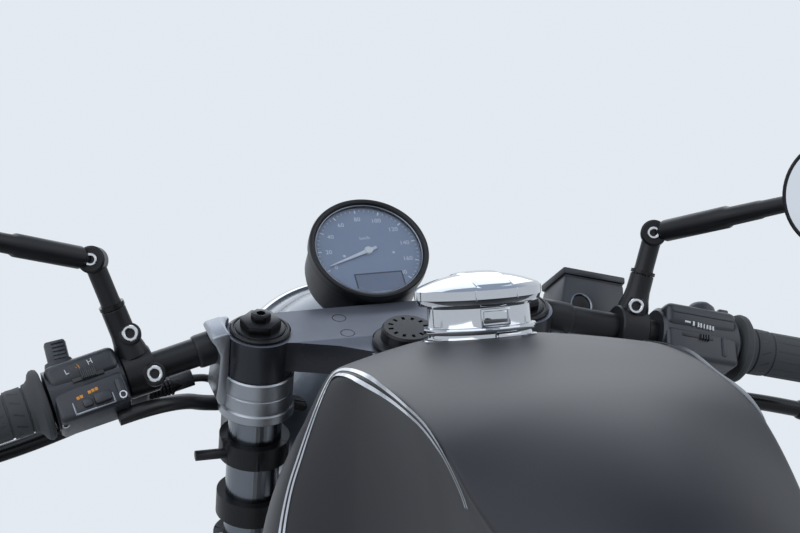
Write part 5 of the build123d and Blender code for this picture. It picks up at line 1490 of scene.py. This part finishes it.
@dataclass
class Headlamp:
    """Painted shell with its chrome rim, reflector, bulb and lens."""

    middle: Point = (0.0, 0.542, 0.882)
    radius: float = 86.0

    def build(self) -> None:
        """Make the shell and the parts that show through and round the lens."""
        at = axes(self.middle, (1, 0, 0), (0, 1, 0))
        r = self.radius
        bowl = arc((0, 0), r, -90, 17, 26)
        inner = arc((0, 0), r - 3, 16, -90, 20)
        for name, outline, finish, node, loop in (
            ("lamp_shell", [*bowl, (r - 2, 40), (r - 2, 54), (r - 5, 54), (r - 5, 27), *inner], LAMP_GREY,
             ("headlamp_shell",), False),
            ("lamp_rim", [(r - 5, 54), (r + 0.4, 54), (r + 1, 56), (r + 1, 66), (r - 1, 70), (r - 5, 72),
                          (r - 7, 70), (r - 5, 54)],
             CHROME, (), True),
            ("lamp_lens", [(0, 91.6), (20, 90.6), (40, 87.4), (60, 81.8), (r - 6, 71.6), (r - 7, 69.4),
                           (58, 79.6), (0, 89.4)],
             CLEAR_GLASS, ("headlamp_lens",), False),
            ("lamp_reflector",
             [(r - 7, 68), (r - 12, 52), (60, 30), (44, 14), (26, 4), (12, 1), (12, -1), (28, 2), (46, 12),
                                (62, 28), (r - 10, 51), (r - 6, 66)], CHROME, (), False),
            ("lamp_bulb", [(0, 30), (5, 29), (8, 25), (9, 18), (9, 2), (0, 0)], CLEAR_GLASS, (), False),
        ):
            made = Bench.turn(name, in_mm(*outline), at, 96, loop=loop)
            Bench.dress(made, finish, "steering", *node, angle=30)
        for k in range(-3, 4):
            rib = Bench.wrap(f"lens_flute_{k}", 2, 16, lambda u, v, k=k: self.flute(k, u, v), at)
            Bench.dress(rib, CLEAR_GLASS, "steering")

    def flute(self, k: int, u: float, v: float) -> Point:
        """Point on one upright flute behind the lens."""
        x = (k * 20 + (u - 0.5) * 2) * MM
        y = (v - 0.5) * 2 * math.sqrt(max((self.radius * MM - 0.012) ** 2 - x * x, 0))
        return (x, y, 0.0888 - (x * x + y * y) * 3.0 + (0.4 * MM if abs(u - 0.5) < 0.1 else 0))


@dataclass
class Tyre:
    """Road tyre whose tread is sunk into its crown."""

    node: str
    body: str
    middle: Point
    radius: float
    width: float
    pitches: int = 44
    bead: float = 224.3
    groove: float = 3.0

    def section(self, t: float) -> tuple[float, float, float]:
        """Place across and out from the axle for t from bead to bead, and how far over the crown it is."""
        half, side = self.width / 2, 1 if t >= 0.5 else -1
        if 0.2 <= t <= 0.8:
            chord = half - 3
            bend = (chord ** 2 + 36 ** 2) / 72
            over = (t - 0.5) / 0.3
            a = over * math.asin(chord / bend)
            return (bend * math.sin(a), self.radius - bend + bend * math.cos(a), over)
        mid = (self.bead + self.radius) / 2 - 8
        k = min(t, 1 - t) / 0.2
        x, out = FuelTank.bow((31.7, self.bead + 16), (half, mid), (half - 3, self.radius - 36), k)
        return (side * x, out, side * 2.0)

    def depth(self, over: float, turn: float) -> float:
        """How deep the tread is cut at a place over the crown and a turn round the wheel."""
        wave = abs((turn * self.pitches) % 1.0 - 0.5) * 4 - 1
        middle = max(0.0, 1 - abs(over - 0.05 * wave) / 0.05)
        reach = abs(over)
        if not 0.16 < reach < 0.93:
            return self.groove * min(1.0, middle * 1.6)
        phase = (turn * self.pitches + (0.5 if over > 0 else 0.0) + reach * 1.1) % 1.0
        slash = max(0.0, 1 - abs(phase - 0.5) / 0.13)
        ends = min(1.0, (reach - 0.16) / 0.06, (0.93 - reach) / 0.06)
        return self.groove * min(1.0, max(middle, slash * ends) * 1.6)

    def surface(self, u: float, v: float) -> Point:
        """Point of the tread at u across and v round the wheel."""
        across, out, over = self.section(u)
        sink = self.depth(over, v) if abs(over) <= 1 else 0.0
        a = math.tau * v
        out = (out - sink) * MM
        return (across * MM, self.middle[1] + out * math.cos(a), self.middle[2] + out * math.sin(a))

    def build(self) -> None:
        """Make the grooved cover."""
        cover = Bench.wrap(f"{self.node}_tread", 90, 440, self.surface)
        Bench.dress(cover, TYRE_RUBBER, self.body, self.node, angle=50)


@dataclass
class BrakeDisc:
    """Drilled rotor on its dished carrier."""

    node: str
    body: str
    middle: Point
    rotor: tuple[float, float, float, float]
    carrier: tuple[Pair, ...]
    both: bool = False

    def build(self) -> None:
        """Make the right disc, and its twin on the left where there is one."""
        inner, outer, low, high = mm(*self.rotor)
        at = place(*self.middle) @ spin(90, "Y")
        ring = Bench.turn(f"{self.node}_rotor", [(inner, low), (outer, low), (outer, high), (inner, high),
                                                 (inner, low)], Matrix(), 96, loop=True)
        for k, share in enumerate((0.2, 0.5, 0.8)):
            radius = inner + (outer - inner) * share
            hole = Bench.turn("hole", [(0, low - MM), (3.2 * MM, low - MM), (3.2 * MM, high + MM),
                                       (0, high + MM)], spin(5 * k, "Z") @ place(radius, 0, 0), 12)
            Bench.cut(ring, Bench.around("holes", hole, 24))
        button = Bench.turn("button",
                            [(0, high - 0.5 * MM), (5.4 * MM, high - 0.5 * MM), (5.4 * MM, high + 0.5 * MM),
                             (4.6 * MM, high + 1 * MM), (0, high + 1 * MM)], place(inner + 1.5 * MM, 0, 0),
                            20)
        buttons = Bench.seat(Bench.around("buttons", button, 8), at)
        Bench.seat(ring, at)
        dish = Bench.turn(f"{self.node}_carrier", in_mm(*self.carrier), at, 96, loop=True)
        made = ((ring, STEEL, (self.node,)), (dish, YOKE_BLACK, ()),
                (Bench.join(f"{self.node}_buttons", [buttons]), BOLT_STEEL, ()))
        for piece, finish, stands_for in made:
            if self.both:
                twin = Bench.mirrored(piece, piece.name + "_left")
                Bench.dress(twin, finish, self.body)
            Bench.dress(piece, finish, self.body, *stands_for)


@dataclass
class SeatPad:
    """Stitched pad: a cloth skin swollen over its foam, with sewn channels across."""

    low: Point = (-98.0, -456.0, 751.4)
    high: Point = (98.0, -202.0, 794.0)
    space: tuple[Point, Point] = ((-103.5, -461.5, 751.0), (103.5, -196.5, 799.6))
    channels: tuple[float, ...] = (-418.0, -380.0, -342.0, -304.0, -266.0, -228.0)
    swell: float = 6.0
    pressure: float = 4.0
    steps: int = 20
    stitch: float = 3.2

    def build(self) -> None:
        """Make the pad, then the channels and the piping round its foot."""
        pad = Bench.block("seat_cushion", mm(*self.low), mm(*self.high), Matrix(), 19 * MM, 5)
        Bench.modify(pad, "REMESH", mode="VOXEL", voxel_size=6 * MM)
        self.inflate(pad)
        Bench.modify(pad, "SUBSURF", levels=1)
        floor, roof = self.space
        for vertex in pad.data.vertices:
            x, y, z = (c / MM for c in vertex.co)
            if z > 770:
                z -= self.stitch * max(math.exp(-((y - line) / 2.6) ** 2)
                                       for line in self.channels) * min(1.0, (z - 770) / 14)
            vertex.co = [min(max(c, a), b) * MM for c, a, b in zip((x, y, z), floor, roof)]
        Bench.dress(pad, SEAT_HIDE, "chassis", "seat_pad", angle=60)
        edge = [(x * 101 * MM, y * MM, 0.7548) for x, y in ((-1, -330), (-1, -459), (1, -459), (1, -199),
                                                            (-1, -199), (-1, -331))]
        piping = Bench.tube("seat_piping", edge, 2.2 * MM, Matrix(), 10, 3)
        Bench.dress(piping, SEAT_HIDE, "chassis")

    def inflate(self, pad: bpy.types.Object) -> None:
        """Swell the skin with pressure and keep each point near where it was."""
        rest = [vertex.co.copy() for vertex in pad.data.vertices]
        Bench.pick(pad)
        bpy.ops.object.modifier_add(type="CLOTH")
        cloth = pad.modifiers[-1]
        cloth.settings.use_pressure = True
        cloth.settings.uniform_pressure_force = self.pressure
        cloth.settings.effector_weights.gravity = 0
        cloth.point_cache.frame_end = self.steps + 4
        for step in range(1, self.steps + 1):
            bpy.context.scene.frame_set(step)
        bpy.ops.object.modifier_apply(modifier=cloth.name)
        bpy.context.scene.frame_set(1)
        for vertex, home in zip(pad.data.vertices, rest):
            shift = vertex.co - home
            if shift.length > self.swell * MM:
                vertex.co = home + shift.normalized() * self.swell * MM


@dataclass
class Trim:
    """Small parts of the chassis: blank plate, silencer clamps and cover screws."""

    plate: tuple[float, float, float, float] = (-87.0, 87.0, 615.0, 729.0)
    clamps: tuple[tuple[Point, Point, float], ...] = (
        ((193.3, -152, 233.6), (0.06, -0.95, 0.29), 30.4), ((196.5, -206, 248.9), (0.012, -0.99, 0.14), 42.6),
        ((201.6, -660, 312.0), (0.012, -0.99, 0.14), 42.6),
    )

    def build(self) -> None:
        """Make each kind of part on both sides."""
        x0, x1, z0, z1 = self.plate
        sign = Bench.block("blank_plate", (x0 * MM, -0.9352, z0 * MM), (x1 * MM, -0.9338, z1 * MM), Matrix(),
                           0.5 * MM)
        Bench.dress(sign, PLATE_PALE, "chassis")
        for x in (-60, 60):
            SCREWS.screw(f"plate_screw_{x}", axes((x * MM, -0.9352, 0.715), (1, 0, 0), (0, -1, 0)), "chassis",
                         0.7)
        for k, (spot, run, radius) in enumerate(self.clamps):
            ring = Bench.turn(f"silencer_clamp_{k}_right",
                              [(radius - 1, -5), (radius + 1.2, -5), (radius + 1.8, -4), (radius + 1.8, 4),
                               (radius + 1.2, 5), (radius - 1, 5), (radius - 1, -5)], Matrix(), 64, loop=True)
            ring.data.transform(Matrix.Scale(MM, 4))
            Bench.seat(ring, axes(mm(*spot), (1, 0, 0), run))
            Bench.dress(Bench.mirrored(ring, f"silencer_clamp_{k}_left"), PIPE_CHROME, "chassis")
            Bench.dress(ring, PIPE_CHROME, "chassis")
        for side, label in ((-1, "left"), (1, "right")):
            for y0, z0, radius, count in ((-150, 335, 47, 6), (20, 330, 82, 9)):
                for k in range(count):
                    a = math.tau * (k + 0.25) / count
                    self.cover_screw(f"cover_screw_{label}_{y0}_{k}".replace("-", "m"), side,
                                     y0 + radius * math.cos(a), z0 + radius * math.sin(a))

    @staticmethod
    def cover_screw(name: str, side: int, y: float, z: float) -> None:
        """Set a screw on the engine's outer face, where that face looks sideways."""
        cases = frame["nodes"]["engine_cases"]
        back = cases.matrix_world.inverted()
        hit, spot, normal, _ = cases.ray_cast(back @ Vector((side * 0.5, y * MM, z * MM)),
                                              back.to_3x3() @ Vector((-side, 0, 0)))
        if hit and abs(normal.x) > 0.9:
            SCREWS.screw(name, axes(cases.matrix_world @ spot, (0, 0, 1), (side, 0, 0)), "chassis", 0.95)


@dataclass
class PhotoView:
    """The camera and the studio round the machine."""

    offset: Point = (-0.6414, -2.0977, 0.1783)
    bearing: float = 16.968
    drop: float = 3.106
    roll: float = -3.772
    focal_pixels: float = 2929.93
    sensor: float = 36.0
    floor_size: float = 60.0
    backdrop: Point = (0.77, 0.82, 0.88)
    wall_top: float = 0.5
    ceiling_from: float = 0.85
    ceiling: Point = (0.44, 0.52, 0.66)
    daylight: Point = (0.33, 0.35, 0.385)
    floor_glow: Pair = (0.5, 1.0)

    def camera(self) -> None:
        """Set the camera where the photograph was taken from."""
        right = Vector((math.cos(math.radians(self.bearing)), -math.sin(math.radians(self.bearing)), 0))
        level = Vector((math.sin(math.radians(self.bearing)), math.cos(math.radians(self.bearing)), 0))
        drop = math.radians(self.drop)
        ahead = level * math.cos(drop) - Vector((0, 0, math.sin(drop)))
        above = right.cross(ahead)
        roll = math.radians(self.roll)
        across = right * math.cos(roll) + above * math.sin(roll)
        upward = above * math.cos(roll) - right * math.sin(roll)
        data = bpy.data.cameras.new("photo_camera")
        data.sensor_width = self.sensor
        data.lens = self.focal_pixels * self.sensor / PHOTO_WIDTH
        data.clip_end = 100
        camera = bpy.data.objects.new("photo_camera", data)
        turn = Matrix((across, upward, -ahead)).transposed().to_4x4()
        camera.matrix_world = Matrix.Translation(HEAD + Vector(self.offset)) @ turn
        bpy.context.scene.collection.objects.link(camera)
        bpy.context.scene.camera = camera

    def lamp(self, name: str, spot: Point, size: float, power: float, aim: Point = (0, 0, 0.6)) -> None:
        """Hang one soft square lamp.

        Args:
            name: Its name.
            spot: Where it hangs.
            size: Its width in metres.
            power: Its power in watts.
            aim: The point that it faces.
        """
        data = bpy.data.lights.new(name, "AREA")
        data.size = size
        data.energy = power
        data.color = (0.91, 0.955, 1.0)
        lamp = bpy.data.objects.new(name, data)
        lamp.location = spot
        lamp.rotation_mode = "QUATERNION"
        lamp.rotation_quaternion = (Vector(aim) - Vector(spot)).to_track_quat("-Z", "Y")
        lamp.visible_camera = False
        bpy.context.scene.collection.objects.link(lamp)

    @staticmethod
    def eye_or_mirror(tree: bpy.types.NodeTree) -> bpy.types.NodeSocket:
        """Value that is 1 for what is seen straight, in a reflection or through glass."""
        path = tree.nodes.new("ShaderNodeLightPath")
        value = path.outputs["Is Camera Ray"]
        for ray in ("Is Glossy Ray", "Is Transmission Ray"):
            either = tree.nodes.new("ShaderNodeMath")
            either.operation = "MAXIMUM"
            tree.links.new(value, either.inputs[0])
            tree.links.new(path.outputs[ray], either.inputs[1])
            value = either.outputs["Value"]
        return value

    def world(self) -> None:
        """Light the studio evenly, and show it pale to the eye and to reflections."""
        world = bpy.data.worlds.new("studio")
        bpy.context.scene.world = world
        world.use_nodes = True
        tree = world.node_tree
        tree.nodes.clear()
        shown = tree.nodes.new("ShaderNodeBackground")
        where = tree.nodes.new("ShaderNodeTexCoord")
        height = tree.nodes.new("ShaderNodeSeparateXYZ")
        tree.links.new(where.outputs["Generated"], height.inputs["Vector"])
        walls = tree.nodes.new("ShaderNodeValToRGB")
        walls.color_ramp.interpolation = "EASE"
        stops = walls.color_ramp.elements
        stops[0].position, stops[0].color = self.wall_top, (*self.backdrop, 1)
        stops[1].position, stops[1].color = self.ceiling_from, (*self.ceiling, 1)
        tree.links.new(height.outputs["Z"], walls.inputs["Fac"])
        tree.links.new(walls.outputs["Color"], shown.inputs["Color"])
        lit = tree.nodes.new("ShaderNodeBackground")
        lit.inputs["Color"].default_value = (*self.daylight, 1)
        mix = tree.nodes.new("ShaderNodeMixShader")
        tree.links.new(self.eye_or_mirror(tree), mix.inputs["Fac"])
        tree.links.new(lit.outputs["Background"], mix.inputs[1])
        tree.links.new(shown.outputs["Background"], mix.inputs[2])
        out = tree.nodes.new("ShaderNodeOutputWorld")
        tree.links.new(mix.outputs["Shader"], out.inputs["Surface"])

    def faded(self, paint: bpy.types.Material) -> bpy.types.Material:
        """Let the floor's paint fade to the backdrop's colour far from the machine.

        Args:
            paint: The floor's own material.

        Returns:
            The same material with the fade added.
        """
        tree = paint.node_tree
        out = next(n for n in tree.nodes if n.type == "OUTPUT_MATERIAL")
        place_on_floor = tree.nodes.new("ShaderNodeTexCoord")
        far = tree.nodes.new("ShaderNodeVectorMath")
        far.operation = "LENGTH"
        tree.links.new(place_on_floor.outputs["Object"], far.inputs[0])
        fade = tree.nodes.new("ShaderNodeMapRange")
        fade.interpolation_type = "SMOOTHSTEP"
        fade.inputs["From Min"].default_value = 1.2
        fade.inputs["From Max"].default_value = 5.0
        fade.inputs["To Min"].default_value, fade.inputs["To Max"].default_value = self.floor_glow
        tree.links.new(far.outputs["Value"], fade.inputs["Value"])
        seen = tree.nodes.new("ShaderNodeMath")
        seen.operation = "MULTIPLY"
        tree.links.new(fade.outputs["Result"], seen.inputs[0])
        tree.links.new(self.eye_or_mirror(tree), seen.inputs[1])
        plain = tree.nodes.new("ShaderNodeEmission")
        plain.inputs["Color"].default_value = (*self.backdrop, 1)
        mix = tree.nodes.new("ShaderNodeMixShader")
        tree.links.new(seen.outputs["Value"], mix.inputs["Fac"])
        tree.links.new(tree.nodes["Principled BSDF"].outputs["BSDF"], mix.inputs[1])
        tree.links.new(plain.outputs["Emission"], mix.inputs[2])
        tree.links.new(mix.outputs["Shader"], out.inputs["Surface"])
        return paint

    def build(self) -> None:
        """Make the floor, lamps, world and camera."""
        Bench.clear()
        bpy.ops.mesh.primitive_plane_add(size=self.floor_size)
        floor = bpy.context.object
        floor.name = "floor"
        floor.data.materials.append(self.faded(FLOOR_PALE.build()))
        self.world()
        self.lamp("key_lamp", (-3.4, -1.6, 4.8), 6.6, 190)
        self.lamp("fill_lamp", (4.6, -2.4, 4.6), 5.4, 80)
        self.lamp("front_lamp", (0.8, 5.4, 5.2), 5.6, 120)
        self.camera()
        bpy.context.scene.view_settings.view_transform = "Standard"


WHEELS = (
    Tyre("front_tyre", "front_wheel_body", (0.0, 0.72, 0.319), 319, 98),
    Tyre("rear_tyre", "rear_wheel_body", (0.0, -0.714, 0.345), 325, 124),
    BrakeDisc("front_discs", "front_wheel_body", (0.0, 0.72, 0.319), (110, 150, 57, 62),
              ((110.5, 61.6), (60, 50), (34.4, 50), (34.4, 46), (62, 46), (111, 57.4), (110.5, 61.6)), True),
    BrakeDisc("rear_disc", "rear_wheel_body", (0.0, -0.714, 0.345), (90, 125, 70, 75),
              ((91, 74.4), (55, 60), (55, 52), (34.4, 52), (34.4, 46), (60, 46), (60, 57), (91, 70.4),
               (91, 74.4))),
)

SKINS: dict[str, Finish] = {
    "frame": FRAME_BLACK, "engine_cases": CAST_ALLOY, "cylinders": ENGINE_BLACK,
    "cylinder_head": ENGINE_BLACK,
    "carburettors": CAST_ALLOY, "exhaust": PIPE_CHROME, "seat_hump": TANK_BLACK, "swingarm": FRAME_BLACK,
    "shocks": SPRING_BLACK, "rear_caliper": YOKE_BLACK, "rear_fender": FRAME_BLACK, "tail_lamp": RED_LENS,
    "plate_bracket": SATIN_BLACK, "electrics_box": SWITCH_BLACK, "footrests": CAST_ALLOY,
    "chain": CHAIN_STEEL,
    "lower_yoke": YOKE_BLACK, "stanchions": FORK_GREY, "fork_sliders": CAST_ALLOY, "front_axle": STEEL,
    "gauge_bracket": SATIN_BLACK, "lamp_ears": SATIN_BLACK, "front_fender": FRAME_BLACK,
    "front_calipers": YOKE_BLACK,
    "front_wheel": CHROME, "rear_wheel": CHROME, "rear_sprocket": STEEL, "centre_stand": SATIN_BLACK,
    "control_cables": HOSE_RUBBER_AND_SHADE,
}


def main() -> None:
    """Build the machine's looks from front to back, then the studio."""
    left_mirror = Mirror(-1, 0.0635, (224, 80, 50), (372, 4, 131))
    right_mirror = Mirror(1, 0.071, (227, 80, 34), (304, -70, 137))
    for assembly in (FuelTank(), FillerCap(), Instrument(), TopYoke(), ClipOns(), HandleTubes(),
                     Grip(-1, 0.137), Grip(1, 0.166), Switches(), left_mirror, right_mirror, Levers(),
                     Headlamp(), *WHEELS, SeatPad(), Trim()):
        LOG.info("building %s", type(assembly).__name__)
        assembly.build()
    for node, finish in SKINS.items():
        Bench.skin(node, finish)
    PhotoView().build()


if __name__ == "__main__":
    main()
